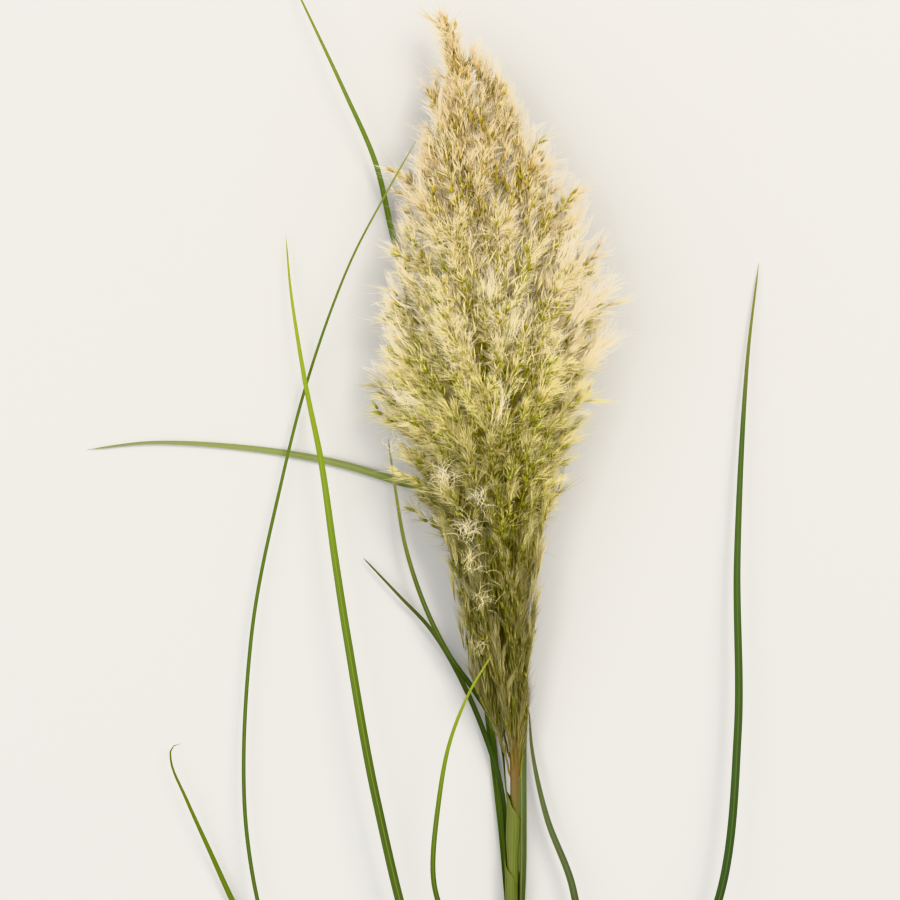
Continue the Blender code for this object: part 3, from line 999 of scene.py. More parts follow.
    def curls(self, place: Array, way: Array, count: int, length: float, turn: float, width: float = 5.0,
              loose: float = 0.45) -> None:
        """Adds a tuft of curled hairs: each is an arc of a circle that bends off to its own side.

        Args:
            place: the tuft's middle.
            way: the direction in which its hairs set out.
            count: how many hairs.
            length: a hair's length.
            turn: how far a hair turns, in radians.
            width: how widely the roots lie.
            loose: how far the hairs' directions scatter.
        """
        rng = self.rng
        way = unit(np.asarray(way, float))
        for _ in range(count):
            along = unit(way + rng.normal(0, loose, 3))
            side = unit(np.cross(along, rng.normal(0, 1, 3) + (0, 0, 1.6))) * rng.choice((-1, 1))
            angle = max(0.2, turn * rng.uniform(0.5, 1.3))
            radius = length * rng.uniform(0.6, 1.2) / angle
            t = np.linspace(0, 1, 8)[:, None] * angle
            line = place + rng.normal(0, width / 2, 3) * (1, 1, 0.5)
            line = line + radius * (np.sin(t) * along + (1 - np.cos(t)) * side)
            self.fine_hair(line, self.CURL_WIDTH)

    def fine_hair(self, line: Array, width: float) -> None:
        """Adds one round hair in the hair's upper strip: white, and duller towards the plume's foot, partly
        painted shade.

        Args:
            line: its middle line.
            width: its width at the root.
        """
        tone = self.rng.normal(table(WHITE_TONES, line[0, 1]), 0.05)
        tone = float(np.clip(tone, TONE_EDGE, 1 - TONE_EDGE))
        radii = np.linspace(width, self.HAIR_END, len(line)) / 2
        add_stick(self.surface, line, radii, 3, tone, Band.HAIR, self.UPPER_STRIP)

    def sprigs(self, line: Array, start: float, gap: float, reach: float) -> list[Sprig]:
        """Works out side stalks along a line, set round it by the golden angle.

        Each is a parabola that leaves the line at a sharp angle. The lower ones are the longest.

        Args:
            line: the line that carries them.
            start: the share of the line below the first.
            gap: the distance between two.
            reach: the length of the lowest, as a share of the line's.

        Returns:
            The sprigs.
        """
        rng = self.rng
        run, last = run_length(line), len(line) - 1
        count = max(4, int(run * (1 - start) / gap))
        rise = np.clip((np.arange(count) + rng.uniform(-0.3, 0.3, count)) / count, 0, 0.97)
        index = (start + (1 - start) * rise) * last
        foot = read_line(line, np.arange(last + 1), index)
        way = unit(np.gradient(line, axis=0))[np.round(index).astype(int)]
        radial = around(way, np.arange(count) * GOLDEN_TURN + rng.uniform(0, 2 * math.pi))
        length = run * (reach * (1 - rise) + 0.10) * rng.uniform(0.8, 1.15, count)
        lean = self.look.lean * np.radians(rng.uniform(9, 17, count))[:, None]
        first = unit(np.cos(lean) * way + np.sin(lean) * radial)
        bend = (0.04 * self.look.lean * radial + self.look.sweep * STEM.outward(foot) * (1, 1, 0.4)
                + rng.normal(0, 0.05 * self.look.lean, (count, 3)))
        t = np.linspace(0, 1, 7)[:, None]
        return [Sprig(foot[i] + length[i] * (t * first[i] + t * t * bend[i]), 0.16 + 0.24 * (1 - rise[i]))
                for i in range(count)]

    def grow(self, sprigs: list[Sprig]) -> None:
        """Adds side stalks with their spikelets.

        Args:
            sprigs: the side stalks.
        """
        for sprig in sprigs:
            self.stalk(sprig.line, self.SPRIG_THICK, self.SPRIG_THIN, self.SPRIG_SIDES)
            self.dress(sprig)


@dataclass
class PlumeBranch:
    """One branch of the plume: its stalk, its sprigs, and their fluff."""

    node: str
    side: Side
    tip: Array
    seed: int
    thick: float = 0.6
    thin: float = 0.22
    sides: int = 6
    stations: int = 48
    seat_run: float = 11
    foot_handle: float = 0.38
    foot_lean: float = 0.05
    tip_handle: float = 0.34

    def line(self) -> Array:
        """Draws the branch's middle line: out of the rachis almost along it, then bowed outwards to the tip.

        It is a cubic curve: its foot on the rachis, a handle along the rachis, a handle back from the tip
        against the way in which the tip points, and the tip. The fluff's own length is left off its end.

        Returns:
            The line's points.
        """
        length = table(BRANCH_LENGTH, self.tip[1])
        foot = self.tip[1] - length
        point, along = STEM.point(foot), STEM.along(foot)
        out = self.tip - STEM.point(self.tip[1])
        out[1] = 0
        out = unit(out) if np.linalg.norm(out) > 1 else np.array((0.0, 0.0, 1.0))
        away = unit(out - along * np.dot(out, along))
        start = point + (table(STEM_RADIUS, foot) + STALK_SEAT) * away
        angle = math.radians(table(SPREAD_ANGLE, self.tip[1]))
        end_way = math.cos(angle) * np.array([0, 1.0, 0]) + math.sin(angle) * out
        reach = np.linalg.norm(self.tip - start)
        hand_1 = start + (self.foot_handle * along + self.foot_lean * away) * reach
        hand_2 = self.tip - self.tip_handle * reach * end_way
        t = np.linspace(0, self.look().end, 60)[:, None]
        line = ((1 - t) ** 3 * start + 3 * (1 - t) ** 2 * t * hand_1
                + 3 * (1 - t) * t ** 2 * hand_2 + t ** 3 * self.tip)
        return resampled(line, self.stations)

    def foot(self, start: Array) -> Array:
        """Draws the stretch where the stalk grows out of the rachis, off its middle line by a soft step.

        Args:
            start: the branch's start on the rachis's skin.

        Returns:
            The stretch's points, from the rachis's middle line up to the start.
        """
        share = np.linspace(0, 1, 9)
        seat = start - STEM.point(start[1])
        return STEM.point(start[1] - self.seat_run * (1 - share)) + eased(share)[:, None] * seat

    def look(self) -> FluffLook:
        """Chooses the fluff's habit.

        Returns:
            The habit at this branch's side and height in the plume.
        """
        height = self.tip[1]
        if height < (STREAK_TOP_RIGHT if self.side is Side.RIGHT else STREAK_TOP):
            return STREAK_LOOK
        if height < BASE_TOP:
            return BASE_LOOK
        if self.side is Side.BACK:
            return UNDER_LOOK
        if self.side is Side.FRONT and height < BARE_TOP:
            return BARE_LOOK
        if height > TOP_START:
            return TOP_LOOK
        if self.side is Side.RIGHT:
            return SHOULDER_LOOK
        if self.side is Side.LEFT:
            return LEFT_LOOK
        return MIDDLE_LOOK

    def build(self, materials: list[Material]) -> Piece:
        """Builds the whole branch as one piece.

        Args:
            materials: the plume's materials.

        Returns:
            The piece.
        """
        look, line = self.look(), self.line()
        fluff = Fluff(self.seed, look)
        fluff.stalk(np.vstack([self.foot(line[0]), line[1:]]), self.thick, self.thin, self.sides)
        if look in (STREAK_LOOK, BASE_LOOK):
            fluff.brush(line[:24], 110, 16.0)
        else:
            fluff.brush(line[:4], 12)
        fluff.dress(Sprig(line, 0.5))
        fluff.grow(fluff.sprigs(line, look.start, look.sprig_gap, 0.30))
        return fluff.surface.build(f"fluff_{self.node}", materials)


@dataclass
class Plume:
    """All the branches, and the sprays, the lining and the tufts that fill the plume between them.

    A run is a stretch of the stem, by both its ends or, for the lining, by its start and length. Counts are
    for the right and the left half of the plume.
    """

    materials: list[Material]
    tip_run: tuple[float, float] = (280, 409)
    inner_run: tuple[float, float] = (60, 300)
    spray_counts: tuple[int, int] = (82, 76)
    lining_counts: tuple[int, int] = (1500, 1300)
    lining_run: tuple[float, float] = (24, 370)

    def branches(self) -> list[PlumeBranch]:
        """Lists every branch.

        Returns:
            The branches, each with its node's name and its tip in plan millimetres.
        """
        tips: dict[Side, list[Place]] = {side: [] for side in Side}
        for side, edge, first in ((Side.LEFT, LEFT_TIPS, 1), (Side.RIGHT, RIGHT_TIPS, -1)):
            for index, (x, y) in enumerate(edge):
                way = first if index % 2 == 0 else -first
                stagger = way * min(SIDE_STAGGER, 0.3 * table(FRONT_HEIGHT, y))
                tips[side].append((x, y, STEM.point(y)[2] + stagger))
        tips[Side.FRONT] = [(x, y, self.surface_height(x, y)) for x, y in FRONT_TIPS]
        tips[Side.BACK] = list(BACK_TIPS)
        return [
            PlumeBranch(f"branch_{side.value}_{number:02d}", side, np.array(tip, float),
                        SIDE_SEED * place + number)
            for place, side in enumerate(Side)
            for number, tip in enumerate(tips[side], 1)
        ]

    def surface_height(self, x: float, y: float) -> float:
        """Finds the plume's upper surface: a half ellipse over the outline's width.

        Args:
            x: the place across the plume.
            y: the place along it.

        Returns:
            The height there.
        """
        middle = STEM.point(y)
        beside = x - middle[0]
        wide = table(OUTLINE_LEFT if beside < 0 else OUTLINE_RIGHT, y)
        return middle[2] + table(FRONT_HEIGHT, y) * math.sqrt(max(0.05, 1 - (beside / wide) ** 2))

    def skin(self, side: int, angle: float, y: float, inset: float) -> Array:
        """Finds a point inside the outline: the half width times cos a sideways, the height times sin a up.

        Args:
            side: 1 for the right half, -1 for the left half.
            angle: the angle above the sideways direction, in radians.
            y: the place along the plume.
            inset: how far inside the outline the point lies.

        Returns:
            The point.
        """
        middle = STEM.point(y)
        wide = max(1.0, table(OUTLINE_RIGHT if side > 0 else OUTLINE_LEFT, y) - inset)
        tall = max(1.0, table(FRONT_HEIGHT, y) - 0.6 * inset) if angle > 0 else middle[2] - 5
        return middle + np.array((side * wide * math.cos(angle), 0.0, tall * math.sin(angle)))

    def tip_spray(self) -> Piece:
        """Builds the short sprigs straight on the rachis that make the plume's tip.

        Returns:
            The piece.
        """
        fluff = Fluff(7, TOP_LOOK)
        rachis = STEM.point(np.linspace(*self.tip_run, 60))
        fluff.dress(Sprig(rachis[-30:], 0.3))
        fluff.grow(fluff.sprigs(rachis, 0.0, 3.0, 0.15))
        return fluff.surface.build("tip_spray", self.materials)

    def inner_spray(self) -> Piece:
        """Builds the longer sprigs straight on the rachis that fill the plume's middle.

        Returns:
            The piece.
        """
        fluff = Fluff(8, INNER_LOOK)
        fluff.grow(fluff.sprigs(STEM.point(np.linspace(*self.inner_run, 90)), 0.0, 4.0, 0.13))
        return fluff.surface.build("inner_spray", self.materials)

    def outer_spray(self, seed: int, side: int, count: int) -> Piece:
        """Builds finer sprigs between the branches that end just inside the outline, so that it closes.

        Each is a parabola from well inside the plume to a point on its skin, read round the stem by angle.

        Args:
            seed: the start of the piece's random draws.
            side: 1 for the right half, -1 for the left half.
            count: how many sprigs.

        Returns:
            The piece.
        """
        fluff = Fluff(seed, OUTER_LOOK)
        rng = fluff.rng
        for index in range(count):
            y = 70 + 332 * (index + rng.uniform(0.2, 0.8)) / count
            fluff.look = BASE_LOOK if y < 140 else OUTER_LOOK
            angle = math.radians(rng.uniform(-25, 80))
            end = self.skin(side, angle, y, 7.0 + 3.0 * eased((y - 250) / 60))
            run = rng.uniform(28, 44) * (1 - 0.3 * eased((y - 320) / 80))
            foot = STEM.point(y - run) + 0.55 * (self.skin(side, angle, y - run, 6.0) - STEM.point(y - run))
            t = np.linspace(0, 1, 9)[:, None]
            middle = 0.5 * (foot + end) + 0.10 * (foot - end) * (0, 0, 1) - 0.10 * (end - foot) * (1, 0, 0)
            line = (1 - t) ** 2 * foot + 2 * t * (1 - t) * middle + t ** 2 * end
            fluff.stalk(line, 0.3, Fluff.SPRIG_THIN, Fluff.SPRIG_SIDES)
            fluff.dress(Sprig(line, 0.28))
        return fluff.surface.build(f"outer_spray_{'right' if side > 0 else 'left'}", self.materials)

    def lining(self) -> Piece:
        """Builds wide soft locks of hair well inside the outline, so that the plume is full all through.

        Each leans from the stem's direction towards the outside, on a shell inside the outline. Some have
        the florets' colours, and more of them do so towards the tip.

        Returns:
            The piece.
        """
        fluff = Fluff(13, MIDDLE_LOOK)
        rng = fluff.rng
        roots = []
        start, run = self.lining_run
        for side, count in zip((1, -1), self.lining_counts):
            height = start + run * rng.random(count) ** 0.9
            angle = np.radians(rng.uniform(-25, 85, count))
            inset = rng.uniform(15, 27, count) * (0.3 + 0.7 * eased((height - 60) / 120))
            inset *= 1 - 0.4 * eased((height - 300) / 90)
            roots += [self.skin(side, float(a), float(y), float(i)) for a, y, i in zip(angle, height, inset)]
        root = np.array(roots)
        total = len(root)
        low = eased((root[:, 1] - 110) / 70)[:, None]
        loose = rng.normal(0, 1, (total, 3)) * (0.05 + 0.22 * low)
        aim = unit(STEM.along(root[:, 1]) + 0.35 * low * STEM.outward(root) + loose)
        bend = rng.normal(0, 0.12, (total, 3)) * low
        length, width = rng.uniform(8, 15, total), rng.uniform(0.45, 0.95, total)
        golden = rng.random(total) < 0.22 + 0.4 * eased((root[:, 1] - 270) / 50)
        for pick, band, tone in ((~golden, Band.HAIR, np.clip(hair_tone(root, rng) + 0.04, 0, 1)),
                                 (golden, Band.FLORET, floret_tone(root, rng))):
            Strands(root[pick] - 5 * aim[pick], aim[pick], bend[pick], length[pick], width[pick],
                    tone[pick]).add_to(fluff.surface, band, LINING_SHAPE)
        return fluff.surface.build("lining", self.materials)

    def tufts(self) -> Piece:
        """Builds the white tufts that catch the eye: curls, combed ones, streaks, and locks at the edges.

        Returns:
            The piece.
        """
        fluff = Fluff(9, MIDDLE_LOOK)
        for x, y, way, count, length, turn in CURLED_TUFTS:
            fluff.curls(self.front(x, y), way, count, length, turn)
        for x, y, way, count, length, turn in COMBED_TUFTS:
            fluff.curls(self.front(x, y), way, count, length, turn, 4.0, 0.12)
        self.streaks(fluff)
        for x, y, length in LEFT_LOCKS:
            fluff.lock(np.array((x, y, 14.0)), (-1, 0.12, 0.05), np.array((0.0, 1.0, 0.1)), 26, length, 0.45)
        self.edge_locks(fluff)
        return fluff.surface.build("white_tufts", self.materials)

    def front(self, x: float, y: float) -> Array:
        """The point just above the plume's upper surface at a place of the plan."""
        return np.array((x, y, self.surface_height(x, y) + 3.0))

    def streaks(self, fluff: Fluff) -> None:
        """Adds the combed streaks near the foot: short lines on the skin, each with a brush of long hairs.

        Args:
            fluff: the fluff that grows.
        """
        for side, low, high, count, lean in STREAKS:
            for y in np.linspace(low, high, count):
                place = self.skin(side, fluff.rng.uniform(-0.2, 0.9), y, 3.5)
                way = np.array((lean, 1.0, 0.05)) + fluff.rng.normal(0, 0.05, 3)
                fluff.brush(place + np.linspace(0, 1, 3)[:, None] * 10 * way, 34, 17.0, 0.09)

    def edge_locks(self, fluff: Fluff) -> None:
        """Adds the locks along the edges: most bend towards the plume's tip, the others away from it.

        Args:
            fluff: the fluff that grows.
        """
        for side, low, high, count, slope, turn in EDGE_LOCKS:
            for y in fluff.rng.uniform(low, high, count):
                place = self.skin(side, fluff.rng.uniform(-0.1, 0.6), y, 10.0)
                forward = fluff.rng.random() < 0.8
                bend = np.array((-0.3 * side, 1.0, 0.0) if forward else (side, -0.4, 0.2))
                fluff.lock(place, (side, slope + fluff.rng.normal(0, 0.2), 0.1), bend, 9, 16, turn)

    def build(self) -> None:
        """Builds every branch and what fills the plume between them, and ties them to the frame."""
        for branch in self.branches():
            piece = branch.build(self.materials)
            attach(piece, BODY)
            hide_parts(branch.node)
            LOG.info("%s: %d triangles", piece.name, len(piece.data.polygons))
        right, left = self.spray_counts
        for filling in (self.tip_spray(), self.inner_spray(), self.outer_spray(11, 1, right),
                        self.outer_spray(12, -1, left), self.lining(), self.tufts()):
            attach(filling, BODY)
            LOG.info("%s: %d triangles", filling.name, len(filling.data.polygons))


@dataclass(frozen=True)
class Veins:
    """The grass's fine parallel veins, in one node group that all leaves and the culm share."""

    name: str = "grass_veins"
    ridges: int = 11
    rib_edge: float = 0.07
    rib_core: float = 0.015
    rib_share: float = 0.55
    noise_across: float = 26.0
    noise_along: float = 7.0
    noise_detail: float = 3.0
    streak_share: float = 0.35
    ridge_height: float = 0.0002

    def group(self) -> bpy.types.NodeTree:
        """Builds the group once, and finds it afterwards.

        The midrib's mask falls with the distance from u = 1/2, the ridges are a sine wave across u, and a
        noise that is stretched along v says where the streaks are pale and where painted shade darkens the
        furrows.

        Returns:
            The group, with masks for the midrib, the streaks and the painted shade in the furrows, and a
            height.
        """
        if self.name in bpy.data.node_groups:
            return bpy.data.node_groups[self.name]
        group = bpy.data.node_groups.new(self.name, "ShaderNodeTree")
        for socket in ("Across", "Along"):
            group.interface.new_socket(socket, in_out="INPUT", socket_type="NodeSocketFloat")
        for socket in ("Midrib", "Streak", "FurrowShade", "Height"):
            group.interface.new_socket(socket, in_out="OUTPUT", socket_type="NodeSocketFloat")
        nodes = Nodes(group)
        inside = nodes.add("NodeGroupInput", {})
        across, along = inside.outputs["Across"], inside.outputs["Along"]
        from_middle = nodes.maths("ABSOLUTE", nodes.maths("SUBTRACT", across, 0.5))
        wave = nodes.maths("SINE", nodes.maths("MULTIPLY", across, 2 * math.pi * self.ridges))
        ridge = nodes.spread(wave, -1, 1)
        place = nodes.add("ShaderNodeCombineXYZ", {
            "X": nodes.maths("MULTIPLY", across, self.noise_across),
            "Y": nodes.maths("MULTIPLY", along, self.noise_along)})
        noise = nodes.add("ShaderNodeTexNoise", {
            "Scale": 1.0, "Detail": self.noise_detail, "Vector": place.outputs["Vector"]}).outputs["Fac"]
        nodes.add("NodeGroupOutput", {
            "Midrib": nodes.spread(from_middle, self.rib_edge, self.rib_core, 0.0, self.rib_share),
            "Streak": nodes.spread(noise, 0.52, 0.72, 0.0, self.streak_share),
            "FurrowShade": nodes.maths("MULTIPLY", nodes.spread(ridge, 0.35, 0.0), nodes.spread(noise, 0.3, 0.7)),
            "Height": ridge})
        return group

    def cover(self, nodes: Nodes, shader: Node, veins: Node, base: Socket, streak: Colour, furrow_shade: Colour,
              depth: float) -> None:
        """Draws the streaks and the painted shade in the furrows over a colour, and raises the surface by
        the ridges.

        Args:
            nodes: the material's nodes.
            shader: its shader.
            veins: the group's node in it.
            base: the colour underneath.
            streak: the streaks' colour.
            furrow_shade: the colour by which painted shade darkens the furrows.
            depth: the strength of the ridges.
        """
        streaked = nodes.mixed(veins.outputs["Streak"], base, nodes.colour(streak))
        furrow_shaded = nodes.mixed(veins.outputs["FurrowShade"], streaked, nodes.colour(furrow_shade), "MULTIPLY")
        bump = nodes.add("ShaderNodeBump", {
            "Strength": depth, "Distance": self.ridge_height, "Height": veins.outputs["Height"]})
        nodes.feed(shader, {"Base Color": furrow_shaded, "Normal": bump.outputs["Normal"]})


VEINS = Veins()


@dataclass(frozen=True)
class LeafFinish:
    """A leaf's colours: the sheath, whose dark green is partly painted shade, the blade from low to high,
    its tip, and its pale midrib.
    """

    name: str
    slot: str
    sheath: Colour
    low: Colour
    middle: Colour
    high: Colour
    tip: Colour
    midrib: Colour
    roughness: float = 0.45

    def material(self) -> Material:
        """Builds the material by the leaf's own map: u runs across it and v from its node to its tip.

        Returns:
            The material.
        """
        material, nodes, shader = node_material(self.name)
        across, along = nodes.map_axes()
        base = nodes.ramp(along, (
            (0.0, self.sheath), (SHEATH_MAP, self.sheath), (0.30, self.low), (0.52, self.low),
            (0.70, self.middle), (0.86, self.high), (1.0, self.tip)))
        veins = nodes.add("ShaderNodeGroup", {"Across": across, "Along": along}, node_tree=VEINS.group())
        ribbed = nodes.mixed(veins.outputs["Midrib"], base, nodes.colour(self.midrib))
        # (0.62, 0.66, 0.50) is painted shade that darkens the furrows between the veins.
        VEINS.cover(nodes, shader, veins, ribbed, self.midrib, (0.62, 0.66, 0.50), 0.72)
        dull, glossy = self.roughness + 0.08, self.roughness - 0.05
        nodes.feed(shader, {"Specular IOR Level": 0.3,
                            "Roughness": nodes.spread(veins.outputs["Height"], 0, 1, dull, glossy)})
        return material


# The sheaths' dark greens are partly their own colour and partly painted shade on the stem below the plume.
FRESH = LeafFinish("fresh_leaf", "leaf_green", (0.115, 0.15, 0.026), (0.08, 0.13, 0.02),
                   (0.10, 0.16, 0.022), (0.14, 0.20, 0.03), (0.34, 0.36, 0.07), (0.26, 0.32, 0.09))
BRIGHT = LeafFinish("bright_leaf", "leaf_bright", (0.115, 0.15, 0.026), (0.055, 0.09, 0.010),
                    (0.115, 0.175, 0.014), (0.24, 0.32, 0.015), (0.45, 0.46, 0.05), (0.24, 0.30, 0.05))
SHADED = replace(BRIGHT, name="shaded_leaf", middle=(0.09, 0.13, 0.010), high=(0.12, 0.175, 0.008),
                 tip=(0.14, 0.18, 0.012), midrib=(0.18, 0.23, 0.03))
DARK = LeafFinish("dark_leaf", "leaf_dark", (0.10, 0.13, 0.03), (0.030, 0.062, 0.012),
                  (0.045, 0.09, 0.014), (0.07, 0.12, 0.022), (0.34, 0.31, 0.07), (0.13, 0.18, 0.05))
PALE = LeafFinish("pale_leaf", "leaf_pale", (0.13, 0.16, 0.045), (0.12, 0.16, 0.05),
                  (0.20, 0.24, 0.07), (0.27, 0.31, 0.10), (0.36, 0.37, 0.17), (0.38, 0.41, 0.21))
GREY = LeafFinish("grey_leaf", "leaf_pale", (0.12, 0.145, 0.045), (0.045, 0.065, 0.018),
                  (0.075, 0.10, 0.032), (0.11, 0.14, 0.05), (0.22, 0.24, 0.10), (0.20, 0.23, 0.11))
OLIVE = LeafFinish("olive_leaf", "leaf_olive", (0.115, 0.135, 0.025), (0.05, 0.085, 0.018),
                   (0.10, 0.13, 0.026), (0.30, 0.31, 0.085), (0.42, 0.38, 0.13), (0.30, 0.32, 0.12))
DULL = replace(OLIVE, name="dull_leaf", middle=(0.085, 0.11, 0.026), high=(0.09, 0.115, 0.03),
               tip=(0.12, 0.14, 0.04), midrib=(0.16, 0.19, 0.06))
LEAF_FINISHES = (FRESH, BRIGHT, SHADED, DARK, PALE, GREY, OLIVE, DULL)


@dataclass(frozen=True)
class Leaf:
    """One leaf: where its sheath starts and ends on the stem, the side it grows on, and its blade."""

    node: str
    foot: float
    mouth: float
    side: float
    width: float
    twist: float
    finish: LeafFinish
    route: tuple[Place, ...]
    columns: int = 13
    sheath_rows: int = 30
    blade_rows: int = 40
    row_length: float = 3.2
    thickness: float = 0.34
    taper: float = 3.2
    rise: float = 5.0
    lean: float = 0.7
    turn_run: float = 0.28

    def arc(self, heights: Array, spans: Array, shares: Array) -> Array:
        """Works out unit vectors across the stem, on the arcs that the sheath covers.

        Args:
            heights: places along the stem.
            spans: the arc covered at each, in radians.
            shares: places across the leaf, from -1 to 1.

        Returns:
            An array by height, by share, by axis.
        """
        one, two = STEM.across(heights)
        angle = math.radians(self.side) + spans[:, None] / 2 * shares[None]
        return np.cos(angle)[..., None] * one[:, None] + np.sin(angle)[..., None] * two[:, None]

    def sheath(self, shares: Array, count: int) -> Array:
        """Works out the sheath's inner face: a slit tube, snug at its foot and wider above.

        Its radius is the stem's plus a gap, and past a short flare it takes the next sheath in. Over its
        last stretch it opens a little, while the arc that it covers narrows to the mouth's.

        Args:
            shares: places across the leaf, from -1 to 1.
            count: how many rows.

        Returns:
            An array by row, by share, by axis.
        """
        s = np.linspace(0, 1, count)
        height = self.foot + s * (self.mouth - self.foot)
        snug = table(STEM_RADIUS, height) * 1.04 + GAP
        wide = (snug + SHEATH_STEP) * 1.06 + GAP
        flare = eased((height - self.foot - FLARE_START) / (FLARE_END - FLARE_START))
        narrowed = eased((s - SHEATH_NARROWS) / (1 - SHEATH_NARROWS))
        radius = snug + (wide - snug) * flare + MOUTH_FLARE * narrowed
        span = SHEATH_SPAN + (MOUTH_SPAN - SHEATH_SPAN) * narrowed
        return STEM.point(height)[:, None] + radius[:, None, None] * self.arc(height, span, shares)

    def blade(self, shares: Array, count: int) -> Array:
        """Works out the blade's lower face: a keeled strip along its route, turned from the sheath to flat.

        The width grows over the first eighth, and falls to the tip's width with a power of the run. The
        blade's edges drop below its middle line with the 1.2th power of the distance from it.

        Args:
            shares: places across the leaf, from -1 to 1.
            count: how many rows.

        Returns:
            An array by row, by share, by axis.
        """
        height = np.array([self.mouth])
        out = self.arc(height, np.zeros(1), np.zeros(1))[0, 0]
        mouth = self.sheath(np.zeros(1), 8)[-1, 0]
        start = mouth + self.rise * STEM.along(height)[0] + self.lean * out
        line = smooth_line([tuple(start), *self.route], count)
        s = np.linspace(0, 1, count)
        along = unit(np.gradient(line, axis=0))
        flat = np.array([0, 0, 1.0 if out[2] > 0 else -1.0])
        turn = eased(s / self.turn_run)[:, None]
        back = (1 - turn) * out + turn * flat
        back = unit(back - along * (back * along).sum(1, keepdims=True))
        across = np.cross(along, back)
        roll = np.radians(self.twist) * np.sin(math.pi * s * 1.6)[:, None] * turn
        cos, sin = np.cos(roll), np.sin(roll)
        back, across = cos * back + sin * across, cos * across - sin * back
        late = s ** self.taper
        width = self.width * np.minimum(0.82 + 1.5 * s, 1) * (1 - late) + TIP_WIDTH * late
        width = width * np.minimum(1, (1 - s) * 40 + 0.2)
        half = (width / 2)[:, None, None]
        lift = -BLADE_KEEL * 2 * half * (np.abs(shares) ** 1.2)[None, :, None] * back[:, None]
        return line[:, None] + half * shares[None, :, None] * across[:, None] + lift

    def build(self, material: Material) -> Piece:
        """Builds the sheath and the blade as one closed thin wall.

        Args:
            material: the leaf's finish.

        Returns:
            The piece.
        """
        shares = np.linspace(-1, 1, self.columns)
        middle = self.columns // 2
        sheath = self.sheath(shares, self.sheath_rows)
        run = run_length(np.array(self.route, float))
        blade = self.blade(shares, int(max(self.blade_rows, run / self.row_length)))
        if np.dot(blade[0, -1] - blade[0, 0], sheath[-1, -1] - sheath[-1, 0]) < 0:
            blade = blade[:, ::-1]
        bridge = [(1 - e) * sheath[-1] + e * blade[0] for e in eased(np.array((0.25, 0.5, 0.75)))]
        rows = np.concatenate([sheath, np.array(bridge), blade])
        normal = unit(np.cross(np.gradient(rows, axis=1), np.gradient(rows, axis=0)))
        if np.dot(normal[0, middle], rows[0, middle] - STEM.point(self.foot)) < 0:
            normal = -normal
        thick = np.full(len(rows), self.thickness)
        thick[-6:] = np.linspace(0.3, 0.1, 6)
        wall = thick[:, None] * (1 - 0.45 * shares ** 2)[None]
        v = np.concatenate([np.linspace(0, SHEATH_MAP, len(sheath)), np.linspace(*BRIDGE_MAP, len(bridge)),
                            np.linspace(BLADE_MAP, 1, len(blade))])
        return self.closed_wall(rows, rows + wall[..., None] * normal, shares, v, material)

    def closed_wall(self, inner: Array, outer: Array, shares: Array, v: Array, material: Material) -> Piece:
        """Joins an inner and an outer face along all four edges into one closed piece.

        Args:
            inner: the inner face's points, by row along the leaf and by column across it.
            outer: the outer face's points.
            shares: each column's place across the leaf, from -1 to 1.
            v: each row's place along it, from 0 to 1.
            material: the leaf's finish.

        Returns:
            The piece.
        """
        rows, columns = inner.shape[:2]
        back = rows * columns
        grid = np.arange(back).reshape(rows, columns)
        sheet = grid_faces(grid)
        loop = np.concatenate([grid[0], grid[1:, -1], grid[-1, -2::-1], grid[-2:0:-1, 0]])
        after = np.roll(loop, -1)
        rim = [np.stack([loop, after, after + back], -1), np.stack([loop, after + back, loop + back], -1)]
        faces = np.concatenate([sheet[:, ::-1], sheet + back, *rim])
        face_way = np.cross(inner[0, 1] - inner[0, 0], inner[1, 1] - inner[0, 0])
        if np.dot(face_way, outer[0, 0] - inner[0, 0]) <= 0:
            faces = faces[:, ::-1]
        u = np.broadcast_to((shares + 1) / 2 * MAP_SPAN + MAP_EDGE, grid.shape)
        v = np.broadcast_to(v[:, None] * MAP_SPAN + MAP_EDGE, grid.shape)
        places = np.stack([u, v], -1).reshape(-1, 2)
        surface = Surface()
        surface.add(np.concatenate([inner.reshape(-1, 3), outer.reshape(-1, 3)]), faces,
                    np.concatenate([places, places]))
        return surface.build(f"foliage_{self.node}", [material])


